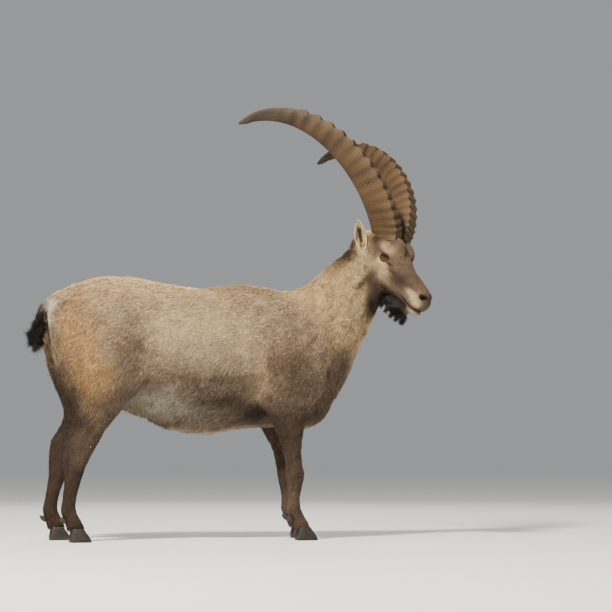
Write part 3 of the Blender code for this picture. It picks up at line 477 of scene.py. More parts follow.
BODY_PATCHES = (
    # place along, out from the spine and up; reach along, out and up; shade; share
    ((-0.30, 0.00, 0.86), (0.52, 0.22, 0.085), TAN, 0.9),
    ((0.06, 0.00, 0.86), (0.13, 0.12, 0.040), BROWN, 0.50),
    ((-0.16, 0.16, 0.72), (0.26, 0.12, 0.080), BEIGE, 0.70),
    ((-0.20, 0.18, 0.60), (0.22, 0.12, 0.060), GREY_BROWN, 0.50),
    ((-0.14, 0.17, 0.53), (0.26, 0.12, 0.045), MAUVE, 0.90),
    ((-0.06, 0.17, 0.475), (0.17, 0.12, 0.040), UMBER, 0.85),
    # A band of painted shade along the underside of the belly.
    ((-0.15, 0.00, 0.40), (0.42, 0.30, 0.030), MAUVE, 0.90),
    ((0.075, 0.15, 0.56), (0.026, 0.12, 0.110), BEIGE, 0.65),
    ((0.02, 0.15, 0.70), (0.100, 0.12, 0.050), BEIGE, 0.35),
    ((0.190, 0.17, 0.60), (0.100, 0.14, 0.150), BROWN, 0.92),
    ((0.230, 0.15, 0.52), (0.100, 0.14, 0.070), UMBER, 0.60),
    ((0.175, 0.15, 0.70), (0.090, 0.12, 0.045), GREY_BROWN, 0.60),
    ((0.370, 0.05, 0.55), (0.090, 0.20, 0.140), BROWN, 0.95),
    ((0.300, 0.05, 0.43), (0.120, 0.20, 0.070), UMBER, 0.85),
    ((0.075, 0.10, 0.42), (0.050, 0.09, 0.065), BLACK, 0.90),
    ((0.150, 0.15, 0.40), (0.080, 0.12, 0.080), DARK, 0.70),
    ((-0.540, 0.13, 0.68), (0.075, 0.11, 0.140), STRAW, 0.70),
    ((-0.490, 0.16, 0.55), (0.060, 0.11, 0.090), STRAW, 0.65),
    ((-0.370, 0.16, 0.63), (0.060, 0.12, 0.130), MAUVE, 0.95),
    ((-0.400, 0.15, 0.46), (0.090, 0.12, 0.080), BROWN, 0.95),
    # The next three patches are painted shade: behind the thighs, at the backs of the hocks, and
    # between the thighs below the tail.
    ((-0.600, 0.05, 0.50), (0.080, 0.16, 0.120), DARK, 0.95),
    ((-0.550, 0.12, 0.35), (0.042, 0.13, 0.120), BLACK, 0.80),
    ((-0.635, 0.00, 0.62), (0.040, 0.10, 0.120), BLACK, 0.80),
    ((-0.638, 0.045, 0.775), (0.026, 0.040, 0.055), SNOW, 1.0),
    ((-0.250, 0.10, 0.46), (0.115, 0.09, 0.045), WHITE, 1.0),
    ((-0.140, 0.10, 0.435), (0.090, 0.08, 0.028), WHITE, 0.75),
    ((-0.030, 0.12, 0.455), (0.110, 0.12, 0.035), DARK, 0.80),
    ((0.340, 0.10, 0.84), (0.090, 0.12, 0.080), TAN, 0.90),
    ((0.370, 0.10, 0.72), (0.070, 0.12, 0.080), FAWN, 0.60),
    ((0.400, 0.02, 0.975), (0.070, 0.05, 0.045), DARK, 0.85),
    ((0.455, 0.05, 0.80), (0.040, 0.12, 0.100), GREY_BROWN, 0.60),
    ((-0.520, 0.16, 0.30), (0.060, 0.10, 0.080), BROWN, 0.50),
)
FACE_PATCHES = (
    ((0.055, 0.020, 0.035), (0.050, 0.05, 0.030), BROWN, 0.75),
    ((0.115, 0.000, 0.000), (0.085, 0.042, 0.036), UMBER, 0.90),
    ((0.105, 0.042, -0.040), (0.048, 0.03, 0.030), UMBER, 0.90),
    ((0.145, 0.036, -0.046), (0.024, 0.03, 0.016), DARK, 0.90),
    ((-0.002, 0.064, 0.020), (0.032, 0.03, 0.016), FAWN, 0.95),
    ((0.020, 0.060, -0.034), (0.026, 0.03, 0.014), BEIGE, 0.90),
    ((0.032, 0.056, -0.056), (0.040, 0.03, 0.020), FAWN, 0.95),
    ((0.075, 0.050, -0.078), (0.034, 0.03, 0.012), FAWN, 0.60),
    ((0.112, 0.038, -0.042), (0.034, 0.03, 0.020), DARK, 0.95),
    ((0.174, 0.034, -0.052), (0.028, 0.03, 0.012), CREAM, 0.75),
    ((0.200, 0.030, -0.064), (0.034, 0.03, 0.014), CREAM, 0.75),
    ((0.228, 0.012, -0.026), (0.016, 0.03, 0.015), DARK, 0.95),
    ((0.215, 0.010, -0.102), (0.036, 0.04, 0.010), CREAM, 0.95),
    ((0.152, 0.020, -0.104), (0.036, 0.04, 0.019), BLACK, 1.0),
    ((0.100, 0.020, -0.102), (0.050, 0.04, 0.027), BLACK, 0.97),
    ((0.045, 0.040, -0.104), (0.038, 0.04, 0.020), DARK, 0.80),
    ((-0.018, 0.064, -0.040), (0.010, 0.03, 0.040), BROWN, 0.75),
    ((-0.030, 0.070, 0.000), (0.026, 0.05, 0.020), UMBER, 0.75),
    ((0.044, 0.052, -0.018), (0.017, 0.03, 0.0055), BLACK, 0.95),
    ((0.068, 0.048, -0.032), (0.024, 0.03, 0.009), DARK, 0.85),
    ((0.010, 0.056, 0.0005), (0.024, 0.03, 0.0060), BLACK, 0.90),
)
POLL_PATCHES = (
    # the skull behind the horns, the nape, and the loose skin below the ear, with a painted shadow
    # beside its fold
    ((-0.055, 0.040, 0.030), (0.036, 0.07, 0.045), DARK, 0.98),
    # The nape is dark brown hair, and these two patches also paint the shade that falls on it.
    ((-0.110, 0.055, -0.062), (0.058, 0.07, 0.062), DARK, 1.0),
    ((-0.165, 0.040, -0.110), (0.050, 0.06, 0.055), DARK, 0.85),
    ((-0.026, 0.081, -0.070), (0.020, 0.04, 0.032), CREAM, 0.95),
    ((-0.006, 0.087, -0.112), (0.016, 0.04, 0.036), CREAM, 0.90),
    # painted shadow beside the fold below the ear
    ((0.018, 0.075, -0.112), (0.012, 0.04, 0.050), DARK, 0.85),
)
PART_SHADES = {
    "head": BROWN,
    "ear": BEIGE,
    "neck": TAN,
    "torso": GREY_BROWN,
    "tail": BLACK,
    "beard": BLACK,
    "fore": UMBER,
    "hind": BROWN,
    "shin": UMBER,
    # the hind shanks' dark is partly their own dark hair and partly painted shade
    "hock": DARK,
}


def painted(colour, place, patches, mask):
    """Lays soft patches of shade over a colour, each one over those before it."""
    for centre, reach, tone, share in patches:
        off = (place - np.array(centre)) / np.array(reach)
        weight = share * mask * np.exp(-np.sum(off * off, axis=1) ** 1.3)
        colour = colour + (tone - colour) * weight[:, None]
    return colour


ruffle = 0.012 * np.stack([ripple(points, 0.05, seed) for seed in (31, 32, 33)], 1)
body_place = np.stack([x, aside, z], 1) + ruffle
face_place = half_face + 0.25 * ruffle
colour = sum(soft[name][:, None] * PART_SHADES[name] for name in PART_SHADES)
off_body = soft["head"] + soft["ear"] + soft["beard"] + soft["tail"]
colour = painted(colour, body_place, BODY_PATCHES, 1 - off_body)
colour = painted(colour, face_place, FACE_PATCHES, soft["head"])
colour = painted(colour, face_place, POLL_PATCHES, np.clip(soft["head"] + soft["neck"], 0, 1))
face_sense = np.where(face_y[:, None] < 0, np.array(EAR_FACES), np.array(mirrored(EAR_FACES, 1)))
ear_inside = rise(np.sum((normals @ head_turn) * face_sense, axis=1), 0.1, 0.7) * soft["ear"]
ear_axis = half_face - np.array(mirrored(EAR_ROOT, 1))
ear_line = np.array(mirrored(EAR_ALONG, 1))
ear_along = ear_axis @ ear_line
ear_side = np.cross(ear_line, mirrored(EAR_FACES, 1))
ear_gap = np.abs(ear_axis @ unit(ear_side))
ear_core = ear_inside * (1 - rise(ear_gap, 0.004, 0.010)) * rise(ear_along, -0.01, 0.01)
ear_core *= 1 - rise(ear_along, 0.072, 0.092)
colour = colour + (CREAM - colour) * (0.55 * ear_inside)[:, None]
colour = colour + (BLACK - colour) * (0.95 * ear_core)[:, None]
mottle = 1 + 0.16 * ripple(points, 0.022, 41) + 0.12 * ripple(points * (1, 1, 0.5), 0.008, 42)
colour = colour * mottle[:, None]
bare = np.clip(nostril * 1.4 + mouth, 0, 1)
bare = np.maximum(bare, 1 - rise(eye_gap, 0.0185, 0.0225))
colour = colour + (BLACK * 0.7 - colour) * bare[:, None]
colour = np.clip(colour, 0.004, 0.9)


def store_colour(mesh, values):
    layer = mesh.color_attributes.new("coat_colour", "FLOAT_COLOR", "POINT")
    rgba = np.ones((len(values), 4), np.float32)
    rgba[:, :3] = values
    layer.data.foreach_set("color", rgba.ravel())


# Between the tufts the hide is in their shade.
UNDERCOAT = 0.72
store_colour(hide.data, colour * UNDERCOAT)


def grained(name, roughness, specular, grain, grain_size, stretch, bump):
    """A finish that takes its shade from the piece's own colours, with a fine grain over it."""
    material = bpy.data.materials.new(name)
    material.use_nodes = True
    nodes = material.node_tree.nodes
    links = material.node_tree.links
    shader = nodes["Principled BSDF"]
    shader.inputs["Roughness"].default_value = roughness
    shader.inputs["Specular IOR Level"].default_value = specular
    tint = nodes.new("ShaderNodeVertexColor")
    tint.layer_name = "coat_colour"
    where = nodes.new("ShaderNodeTexCoord")
    turn = nodes.new("ShaderNodeMapping")
    turn.inputs["Scale"].default_value = stretch
    noise = nodes.new("ShaderNodeTexNoise")
    noise.inputs["Scale"].default_value = grain_size
    noise.inputs["Detail"].default_value = 4.0
    spread_of = nodes.new("ShaderNodeMapRange")
    spread_of.inputs["From Min"].default_value = 0.3
    spread_of.inputs["From Max"].default_value = 0.7
    spread_of.inputs["To Min"].default_value = 1 - grain
    spread_of.inputs["To Max"].default_value = 1 + grain
    mix = nodes.new("ShaderNodeVectorMath")
    mix.operation = "SCALE"
    relief = nodes.new("ShaderNodeBump")
    relief.inputs["Strength"].default_value = bump
    relief.inputs["Distance"].default_value = 0.002
    links.new(where.outputs["Object"], turn.inputs["Vector"])
    links.new(turn.outputs["Vector"], noise.inputs["Vector"])
    links.new(noise.outputs["Fac"], spread_of.inputs["Value"])
    links.new(tint.outputs["Color"], mix.inputs[0])
    links.new(spread_of.outputs["Result"], mix.inputs["Scale"])
    links.new(mix.outputs["Vector"], shader.inputs["Base Color"])
    links.new(noise.outputs["Fac"], relief.inputs["Height"])
    links.new(relief.outputs["Normal"], shader.inputs["Normal"])
    return material


hide_finish = grained(
    "hide_finish", roughness=0.85, specular=0.2, grain=0.22,
    grain_size=420.0, stretch=(1.0, 1.0, 0.4), bump=0.7,
)
hide.data.materials.clear()
hide.data.materials.append(hide_finish)
hide.data.shade_smooth()
bpy.ops.object.select_all(action="DESELECT")
hide.select_set(True)
bpy.context.view_layer.objects.active = hide
bpy.ops.object.mode_set(mode="EDIT")
bpy.ops.mesh.select_all(action="SELECT")
bpy.ops.uv.smart_project(angle_limit=radians(66), island_margin=0.002)
bpy.ops.object.mode_set(mode="OBJECT")
hide.data.uv_layers.active.name = "OFBake"
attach(hide, "root")
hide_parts(*FLESH, *EARS)

# Coat
# Guard hairs over wool, in tufts that lie along the body, each a thin leaf that tapers to a point.
# They are rooted in the hide, shortest on the face and shins, long under the belly and on the tail.

TUFTS = 232000
PIECE_TRIANGLES = 190000
PATCH = 0.003
LONG_HAIR = 0.030
ROOT_SUNK = 0.0008
BALD_BELOW = 0.047


def tuft_pattern(rings):
    """A slim closed leaf along Z from nought to one, with three corners at each ring."""
    form = bmesh.new()
    ring = bmesh.ops.create_circle(form, segments=3, radius=0.5)["verts"]
    (low, wide), *others = rings
    for vert in ring:
        vert.co = Vector((vert.co.x * wide, vert.co.y * wide, low))
    first = ring
    edges = [edge for edge in form.edges]
    for height, wide in [*others, (1.0, 0.0)]:
        out = bmesh.ops.extrude_edge_only(form, edges=edges)["geom"]
        edges = [item for item in out if isinstance(item, bmesh.types.BMEdge)]
        ring = [item for item in out if isinstance(item, bmesh.types.BMVert)]
        for vert in ring:
            flat = Vector((vert.co.x, vert.co.y, 0)).normalized() * 0.5 * wide
            vert.co = Vector((flat.x, flat.y, height))
    bmesh.ops.pointmerge(form, verts=ring, merge_co=(0, 0, 1))
    down = [edge for edge in form.edges if edge.is_boundary]
    out = bmesh.ops.extrude_edge_only(form, edges=down)["geom"]
    foot = [item for item in out if isinstance(item, bmesh.types.BMVert)]
    bmesh.ops.pointmerge(form, verts=foot, merge_co=(0, 0, 0))
    bmesh.ops.triangulate(form, faces=form.faces)
    bmesh.ops.recalc_face_normals(form, faces=form.faces)
    form.verts.index_update()
    shape = np.array([vert.co[:] for vert in form.verts])
    faces = np.array([[vert.index for vert in face.verts] for face in form.faces])
    form.free()
    return shape, faces


LEAF = tuft_pattern(((0.38, 1.0),))
STRAND = tuft_pattern(((0.22, 1.0), (0.62, 0.8)))

mesh = hide.data
corner_of = read(mesh.polygons, "vertices", 3, int)
flat_uv = read(mesh.uv_layers["OFBake"].data, "uv", 2).reshape(-1, 3, 2)
spots = points[corner_of]
area = np.linalg.norm(np.cross(spots[:, 1] - spots[:, 0], spots[:, 2] - spots[:, 0]), axis=1) / 2
bald = np.maximum(bare, on_horn)
bald = np.maximum(bald, ear_core * 0.8)
share = density * (1 - bald) * (z > BALD_BELOW)
share *= 1 - 0.55 * belly
weights = area * share[corner_of].mean(axis=1)
ladder = np.cumsum(weights)
draw = (np.arange(TUFTS) + rng.random(TUFTS)) / TUFTS * ladder[-1]
chosen = np.searchsorted(ladder, draw)
first = rng.random((TUFTS, 2))
outside = first.sum(axis=1) > 1
first[outside] = 1 - first[outside]
share_of = np.concatenate([1 - first.sum(axis=1, keepdims=True), first], axis=1)


def at_roots(values):
    """Values of the hide's points, read at the roots of the tufts."""
    picked = values[corner_of[chosen]]
    weight = share_of if picked.ndim == 2 else share_of[:, :, None]
    return (picked * weight).sum(axis=1)


roots = at_roots(points)
root_normal = unit(at_roots(normals))
root_way = at_roots(lie)
root_length = at_roots(length)
root_width = at_roots(width)
root_colour = at_roots(colour)
root_depth = at_roots(depth)
root_uv = (flat_uv[chosen] * share_of[:, :, None]).sum(axis=1)
root_belly = at_roots(belly)

turn = rng.normal(0, 0.20, TUFTS)
root_way = unit(root_way - root_normal * np.sum(root_way * root_normal, axis=1, keepdims=True))
across = np.cross(root_normal, root_way)
root_way = root_way * np.cos(turn)[:, None] + across * np.sin(turn)[:, None]
across = np.cross(root_normal, root_way)
root_length = root_length * rng.uniform(0.72, 1.28, TUFTS)
root_width = root_width * rng.uniform(0.75, 1.30, TUFTS)
height = root_depth * rng.uniform(0.55, 1.25, TUFTS) / root_length
root_hang = at_roots(soft["beard"] + soft["tail"])
lift = np.clip(height * 1.9, 0.05, 0.75) * (1 - 0.65 * root_hang)
bend = lift * rng.uniform(0.45, 0.75, TUFTS)
curl = rng.normal(0, 0.10, TUFTS) + 0.35 * root_belly * ripple(roots, 0.03, 51)
light = np.clip(rng.normal(0.97, 0.30, TUFTS), 0.35, 1.8)
pale = (rng.random(TUFTS) < 0.14)[:, None]
warm = rng.normal(0, 0.05, TUFTS)
root_colour = root_colour * light[:, None] * np.stack([1 + warm, np.ones(TUFTS), 1 - warm], 1)
root_colour = np.where(pale, root_colour * 1.30 + 0.008, root_colour)


def grow(name, which, pattern):
    """One piece of coat, from the tufts that are picked."""
    shape, faces = pattern
    count = len(which)
    along = shape[:, 2][None, :, None]
    rise_of = (lift[which, None] * shape[:, 2] - bend[which, None] * shape[:, 2] ** 2)[:, :, None]
    size = root_length[which, None, None]
    wide = root_width[which, None, None]
    place = roots[which, None, :] - root_normal[which, None, :] * ROOT_SUNK
    place = place + root_way[which, None, :] * size * along
    thick = wide * 0.5 * shape[:, 1][None, :, None]
    place = place + root_normal[which, None, :] * (size * rise_of + thick)
    sideways = shape[:, 0][None, :, None] * wide + size * curl[which, None, None] * along**2
    place = place + across[which, None, :] * sideways
    mesh = bpy.data.meshes.new(name)
    mesh.vertices.add(count * len(shape))
    mesh.vertices.foreach_set("co", place.reshape(-1).astype(np.float32))
    index = (np.arange(count)[:, None, None] * len(shape) + faces[None]).reshape(-1)
    mesh.loops.add(len(index))
    mesh.loops.foreach_set("vertex_index", index.astype(np.int32))
    mesh.polygons.add(len(index) // 3)
    mesh.polygons.foreach_set("loop_start", np.arange(0, len(index), 3, dtype=np.int32))
    mesh.update(calc_edges=True)
    tone = root_colour[which, None, :] * (0.62 + 0.55 * shape[:, 2])[None, :, None]
    store_colour(mesh, np.clip(tone, 0.003, 0.95).reshape(-1, 3))
    patch = root_uv[which, None, :] + PATCH * np.stack([shape[:, 0], shape[:, 2] - 0.5], 1)[None]
    layer = mesh.uv_layers.new(name="OFBake")
    layer.data.foreach_set("uv", patch.reshape(-1, 2)[index].reshape(-1).astype(np.float32))
    mesh.shade_smooth()
    mesh.materials.append(coat_finish)
    thing = bpy.data.objects.new(name, mesh)
    bpy.context.scene.collection.objects.link(thing)
    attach(thing, "root")
    return thing


coat_finish = grained(
    "coat_finish", roughness=0.62, specular=0.28, grain=0.10,
    grain_size=900.0, stretch=(1.0, 1.0, 0.3), bump=0.0,
)
order = np.argsort(roots[:, 0], kind="stable")
for kind, pattern, picked in (
    ("short", LEAF, root_length[order] < LONG_HAIR),
    ("long", STRAND, root_length[order] >= LONG_HAIR),
):
    which = order[picked]
    strips = -(-len(which) * len(pattern[1]) // PIECE_TRIANGLES)
    for number, strip in enumerate(np.array_split(which, strips)):
        grow(f"coat_{kind}_{number + 1}", strip, pattern)

# Horns
# Two sheaths of horn over bone, long and curved back, with knobs across the front.
# Fine rings run round the sides, and each root is sunk in the hide of the brow.

HORN_LENGTH = 0.832
HORN_ROOT = (0.0, 0.0738)
HORN_ROOT_Y = 0.056
HORN_SUNK = 0.020
HORN_HEADING = [radians(angle) for angle in (123.2, 165.4, -193.7, 167.2)]
HORN_SPREAD = (0.345, -0.117)
HORN_WIDTH = 0.053
HORN_DEPTH = 0.108
HORN_KNOBS = 15
HORN_KNOB_HEIGHT = 0.010
HORN_RIB_STEP = 0.0075
HORN_RIB_HEIGHT = 0.0007
HORN_BAND_HEIGHT = 0.0016
HORN_STATIONS = 520
HORN_ROUND = 40
HORN_RING = (
    (0.0, 0.72), (-0.03, 1.0), (-0.36, 1.06), (-0.74, 0.78), (-1.0, 0.24),
    (-0.97, -0.30), (-0.70, -0.78), (-0.36, -1.0), (-0.06, -0.94), (0.0, -0.62),
)


def horn_line(count):
    """Places and directions along the outer front edge of the right horn, in the head's frame."""
    stations = []
    step = HORN_LENGTH / count
    x, z = HORN_ROOT
    h0, h1, h2, h3 = HORN_HEADING
    start = -round(HORN_SUNK / step)
    x -= cos(h0) * HORN_SUNK
    z -= sin(h0) * HORN_SUNK
    for number in range(start, count + 1):
        s = number / count
        mid = max(0.0, s + 0.5 / count)
        heading = h0 + h1 * mid + h2 * mid * mid + h3 * mid**3
        slope = (HORN_SPREAD[0] + 2 * HORN_SPREAD[1] * mid) / HORN_LENGTH
        flat = sqrt(1 - slope * slope)
        on = Vector((cos(heading) * flat, -slope, sin(heading) * flat))
        forward = Vector((sin(heading), 0, -cos(heading)))
        out = forward.cross(on).normalized()
        if out.y > 0:
            out.negate()
        spread_by = HORN_SPREAD[0] * max(0.0, s) + HORN_SPREAD[1] * s * s
        stations.append((s, Vector((x, -(HORN_ROOT_Y + spread_by), z)), on, forward, out))
        x += on.x * step
        z += on.z * step
    return stations


def knob_rise(s):
    """How high the front stands in its knobs, gentle towards the tip and steep towards the root."""
    first, last = 0.015, 0.80
    if not first < s < last:
        return 0.0
    along = (s - first) / (last - first)
    phase = (along**0.78 * HORN_KNOBS) % 1
    shape = sin(pi * phase**0.72) ** 2
    return HORN_KNOB_HEIGHT * shape * (0.62 + 0.5 * along) * min(1, (1 - along) * 8)


def horn_section(s):
    """Half the width and the whole depth of the horn."""
    taper = max(0.07, (1 - max(0, s) ** 1.25)) ** 0.53
    taper *= 1 if s < 0.94 else 1 - 0.72 * ((s - 0.94) / 0.06) ** 2
    return HORN_WIDTH / 2 * taper, HORN_DEPTH * taper


def ring_point(turn):
    """A point of the horn's outline, on a smooth closed curve through its corners."""
    place = turn * len(HORN_RING)
    number = int(place) % len(HORN_RING)
    t = place - int(place)
    a, b, c, d = (Vector(HORN_RING[(number + step) % len(HORN_RING)]) for step in (-1, 0, 1, 2))
    bent = (2 * a - 5 * b + 4 * c - d) * t * t
    return 0.5 * ((2 * b) + (c - a) * t + bent + (3 * b - a - 3 * c + d) * t**3)


def build_horn(side, sign):
    name = f"horn_{side}_sheath"
    form = bmesh.new()
    tints = form.verts.layers.float_color.new("coat_colour")
    ring = bmesh.ops.create_circle(form, segments=HORN_ROUND, radius=1)["verts"]
    edges = form.edges[:]
    outline = [ring_point(number / HORN_ROUND) for number in range(HORN_ROUND)]
    for station, (s, edge, on, forward, out) in enumerate(horn_line(HORN_STATIONS)):
        if station:
            edges, ring = next_ring(form, edges, ring)
        half_width, depth_of = horn_section(s)
        middle = edge - out * half_width * 0.94
        heart = middle - forward * depth_of * 0.5
        lift_of = knob_rise(s) - HORN_KNOB_HEIGHT / 2 * min(1.0, max(0.0, 8 * (0.9 - s)))
        groove = min(1.0, max(0.0, 0.5 - knob_rise(s) / HORN_KNOB_HEIGHT)) if 0 < s < 0.8 else 0.2
        for vert, (ahead, side_share) in zip(ring, outline):
            front = min(1.0, max(0.0, 1 + ahead * 3.2)) ** 0.7
            body = middle + forward * (ahead * depth_of) + out * (side_share * half_width)
            way = (body - heart).normalized()
            wave_at = s * HORN_LENGTH / HORN_RIB_STEP
            wave_at += 0.8 * sin(ahead * 4.4 + s * 23) + 0.6 * sin(s * 61)
            patch = 0.35 + 0.65 * sin(s * 47 + 2 * ahead) ** 2
            ribs = sin(2 * pi * wave_at) * patch * (1 - 0.8 * max(0.0, s))
            raised = lift_of * front * (1 - 0.25 * abs(side_share))
            band = (knob_rise(s + 0.010 * ahead) / HORN_KNOB_HEIGHT - 0.4) * (1 - front)
            band *= min(1.0, max(0.0, 1.1 + ahead))
            swell = way * (HORN_RIB_HEIGHT * ribs + HORN_BAND_HEIGHT * band)
            vert.co = in_head(mirrored(body + forward * raised + swell, sign))
            worn = min(1.0, max(0.0, s - 0.25) / 0.60)
            dark = 0.95 * groove * front + 0.50 * max(0.0, -ribs) + 0.45 * worn
            dark += (0.30 - 0.55 * band) * (1 - front) + 0.10 * sin(s * 31 + 3 * ahead)
            tone = HORN_PALE + (HORN_DARK - HORN_PALE) * min(1.0, max(0.0, dark))
            vert[tints] = (*tone, 1)
    bmesh.ops.contextual_create(form, geom=edges)
    bmesh.ops.holes_fill(form, edges=[edge for edge in form.edges if edge.is_boundary])
    bmesh.ops.recalc_face_normals(form, faces=form.faces)
    thing = shown(form, name)
    thing.data.shade_smooth()
    thing.data.materials.append(horn_finish)
    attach(thing, "root")
    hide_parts(f"horn_{side}")
    return thing


HORN_PALE = shade(86, 65, 42)
HORN_DARK = shade(20, 16, 13)
horn_finish = grained(
    "horn_finish", roughness=0.60, specular=0.25, grain=0.22,
    grain_size=260.0, stretch=(1.0, 1.0, 1.0), bump=0.35,
)
for side, sign in SIDES:
    build_horn(side, sign)

# Eyes
# Glass balls with an amber iris and a level slit of a pupil, set deep between dark lids.
# The lids are folds of the hide, thick at the rim, closed round each ball.

EYE_RADIUS = 0.0172
EYE_LOOK = Vector((0.34, -0.93, 0.04)).normalized()
EYE_SLIT = Vector((0.92, 0.34, 0.20)).normalized()
LID_HALF_LONG = 0.0146
LID_HALF_HIGH = 0.0040
LID_ROUND = 64
LID_THICK = 0.0016
PUPIL_LONG = 0.20
PUPIL_HIGH = 0.070
PUPIL_BLACK = (0.004, 0.003, 0.003, 1)
IRIS_HEART = shade(150, 98, 34)
IRIS_RING = shade(102, 62, 22)
IRIS_RIM = shade(40, 24, 14)


def eye_finish_of():
    material = bpy.data.materials.new("eye_finish")
    material.use_nodes = True
    nodes = material.node_tree.nodes
    links = material.node_tree.links
    shader = nodes["Principled BSDF"]
    shader.inputs["Roughness"].default_value = 0.12
    shader.inputs["Specular IOR Level"].default_value = 0.35
    shader.inputs["Coat Weight"].default_value = 0.2
    shader.inputs["Coat Roughness"].default_value = 0.04
    where = nodes.new("ShaderNodeUVMap")
    where.uv_map = "iris"
    split = nodes.new("ShaderNodeSeparateXYZ")
    links.new(where.outputs["UV"], split.inputs["Vector"])

    def math(operation, first, second=None):
        node = nodes.new("ShaderNodeMath")
        node.operation = operation
        for socket, value in zip(node.inputs, (first, second)):
            if value is None:
                continue
            if isinstance(value, (int, float)):
                socket.default_value = value
            else:
                links.new(value, socket)
        return node.outputs[0]

    u = math("SUBTRACT", split.outputs["X"], 0.5)
    v = math("SUBTRACT", split.outputs["Y"], 0.5)
    round_off = math("SQRT", math("ADD", math("MULTIPLY", u, u), math("MULTIPLY", v, v)))
    u_slit = math("POWER", math("ABSOLUTE", math("DIVIDE", u, PUPIL_LONG)), 4.0)
    v_slit = math("POWER", math("ABSOLUTE", math("DIVIDE", v, PUPIL_HIGH)), 4.0)
    slit = math("SQRT", math("ADD", u_slit, v_slit))
    rays = nodes.new("ShaderNodeTexNoise")
    rays.inputs["Scale"].default_value = 34.0
    rays.inputs["Detail"].default_value = 5.0
    links.new(where.outputs["UV"], rays.inputs["Vector"])
    ramp = nodes.new("ShaderNodeValToRGB")
    ramp.color_ramp.elements[0].position = 0.0
    ramp.color_ramp.elements[0].color = (*IRIS_HEART, 1)
    ramp.color_ramp.elements[1].position = 0.47
    ramp.color_ramp.elements[1].color = (*IRIS_RIM, 1)
    middle = ramp.color_ramp.elements.new(0.33)
    middle.color = (*IRIS_RING, 1)
    ragged = math("MULTIPLY", math("SUBTRACT", rays.outputs["Fac"], 0.5), 0.10)
    links.new(math("ADD", round_off, ragged), ramp.inputs["Fac"])
    edge = nodes.new("ShaderNodeMapRange")
    edge.inputs["From Min"].default_value = 0.85
    edge.inputs["From Max"].default_value = 1.15
    links.new(slit, edge.inputs["Value"])
    mix = nodes.new("ShaderNodeMix")
    mix.data_type = "RGBA"
    mix.inputs["A"].default_value = PUPIL_BLACK
    links.new(edge.outputs["Result"], mix.inputs["Factor"])
    links.new(ramp.outputs["Color"], mix.inputs["B"])
    links.new(mix.outputs["Result"], shader.inputs["Base Color"])
    return material


eye_finish = eye_finish_of()


def eye_axes(sign):
    look = head_way(mirrored(EYE_LOOK, sign)).normalized()
    level = head_way(mirrored(EYE_SLIT, sign))
    level = (level - look * level.dot(look)).normalized()
    up = look.cross(level).normalized()
    if up.z < 0:
        up.negate()
    return look, level, up


def build_eye(side, sign):
    look, level, up = eye_axes(sign)
    centre = in_head(mirrored(EYE_CENTRE, sign))
    form = bmesh.new()
    bmesh.ops.create_uvsphere(form, u_segments=48, v_segments=32, radius=EYE_RADIUS)
    layer = form.loops.layers.uv.new("iris")
    for face in form.faces:
        for loop in face.loops:
            across_iris = loop.vert.co / EYE_RADIUS / 2
            loop[layer].uv = (0.5 + across_iris.x, 0.5 + across_iris.y)
    turn = Matrix((level, up, look)).transposed()
    for vert in form.verts:
        bulge = 1 + 0.035 * max(0.0, vert.co.z / EYE_RADIUS - 0.7)
        vert.co = centre + turn @ (vert.co * bulge)
    bmesh.ops.recalc_face_normals(form, faces=form.faces)
    ball = shown(form, f"eye_{side}_ball")
    ball.data.shade_smooth()
    ball.data.materials.append(eye_finish)
    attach(ball, "root")
    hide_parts(f"eye_{side}")


LID_RINGS = (
    # out from the opening's edge, and above the ball
    (-0.0003, -0.0008), (0.0000, 0.0009), (0.0009, 0.0016), (0.0022, 0.0016),
    (0.0038, 0.0006), (0.0056, -0.0014), (0.0072, -0.0050),
)


def build_lids(side, sign):
    look, level, up = eye_axes(sign)
    centre = in_head(mirrored(EYE_CENTRE, sign))
    form = bmesh.new()
    ring = bmesh.ops.create_circle(form, segments=LID_ROUND, radius=1)["verts"]
    edges = form.edges[:]
    angles = [2 * pi * number / LID_ROUND for number in range(LID_ROUND)]
    for row, (out_by, above) in enumerate(LID_RINGS):
        if row:
            edges, ring = next_ring(form, edges, ring)
        for vert, angle in zip(ring, angles):
            long_by = LID_HALF_LONG * cos(angle)
            roof = 1 - abs(cos(angle)) ** 2.2 * 0.35
            high_by = LID_HALF_HIGH * sin(angle) * roof * (1.0 if sin(angle) > 0 else 0.82)
            brow = 0.0020 * max(0.0, sin(angle)) ** 0.5
            flat = Vector((long_by, high_by))
            grow_by = 1 + out_by / max(flat.length, 0.004)
            flat = flat * grow_by
            radius = EYE_RADIUS + above + brow
            off = min(flat.length, radius * 0.985)
            flat = flat.normalized() * off
            deep = sqrt(radius * radius - off * off)
            vert.co = centre + level * flat.x + up * flat.y + look * deep
    bmesh.ops.recalc_face_normals(form, faces=form.faces)
    lids = shown(form, f"lids_{side}")
    fatten = lids.modifiers.new("thick", "SOLIDIFY")
    fatten.thickness = LID_THICK
    fatten.offset = -1
    settled(lids)
    lids.data.shade_smooth()
    tones = np.tile(LID_SHADE, (len(lids.data.vertices), 1))
    store_colour(lids.data, tones)
    lids.data.materials.append(lid_finish)
    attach(lids, "root")


LID_SHADE = shade(20, 16, 14)
lid_finish = grained(
    "lid_finish", roughness=0.8, specular=0.12, grain=0.15,
    grain_size=700.0, stretch=(1.0, 1.0, 1.0), bump=0.4,
)
for side, sign in SIDES:
    build_eye(side, sign)
    build_lids(side, sign)

# Hooves
# Two toes and two dewclaws on each foot, of dark horn, worn and finely ringed.
# The solids' shapes are rounded, and each toe stands on its own flat sole.

SOLE_EDGE = 0.002
HOOF_RING_STEP = 0.0045
HOOF_DARK = shade(30, 25, 22)
HOOF_PALE = shade(60, 51, 43)
hoof_finish = grained(
    "hoof_finish", roughness=0.5, specular=0.35, grain=0.18,
    grain_size=330.0, stretch=(1.0, 1.0, 3.0), bump=0.5,
)
CLAWS = [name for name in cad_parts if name.startswith(("hoof_", "dewclaw_"))]


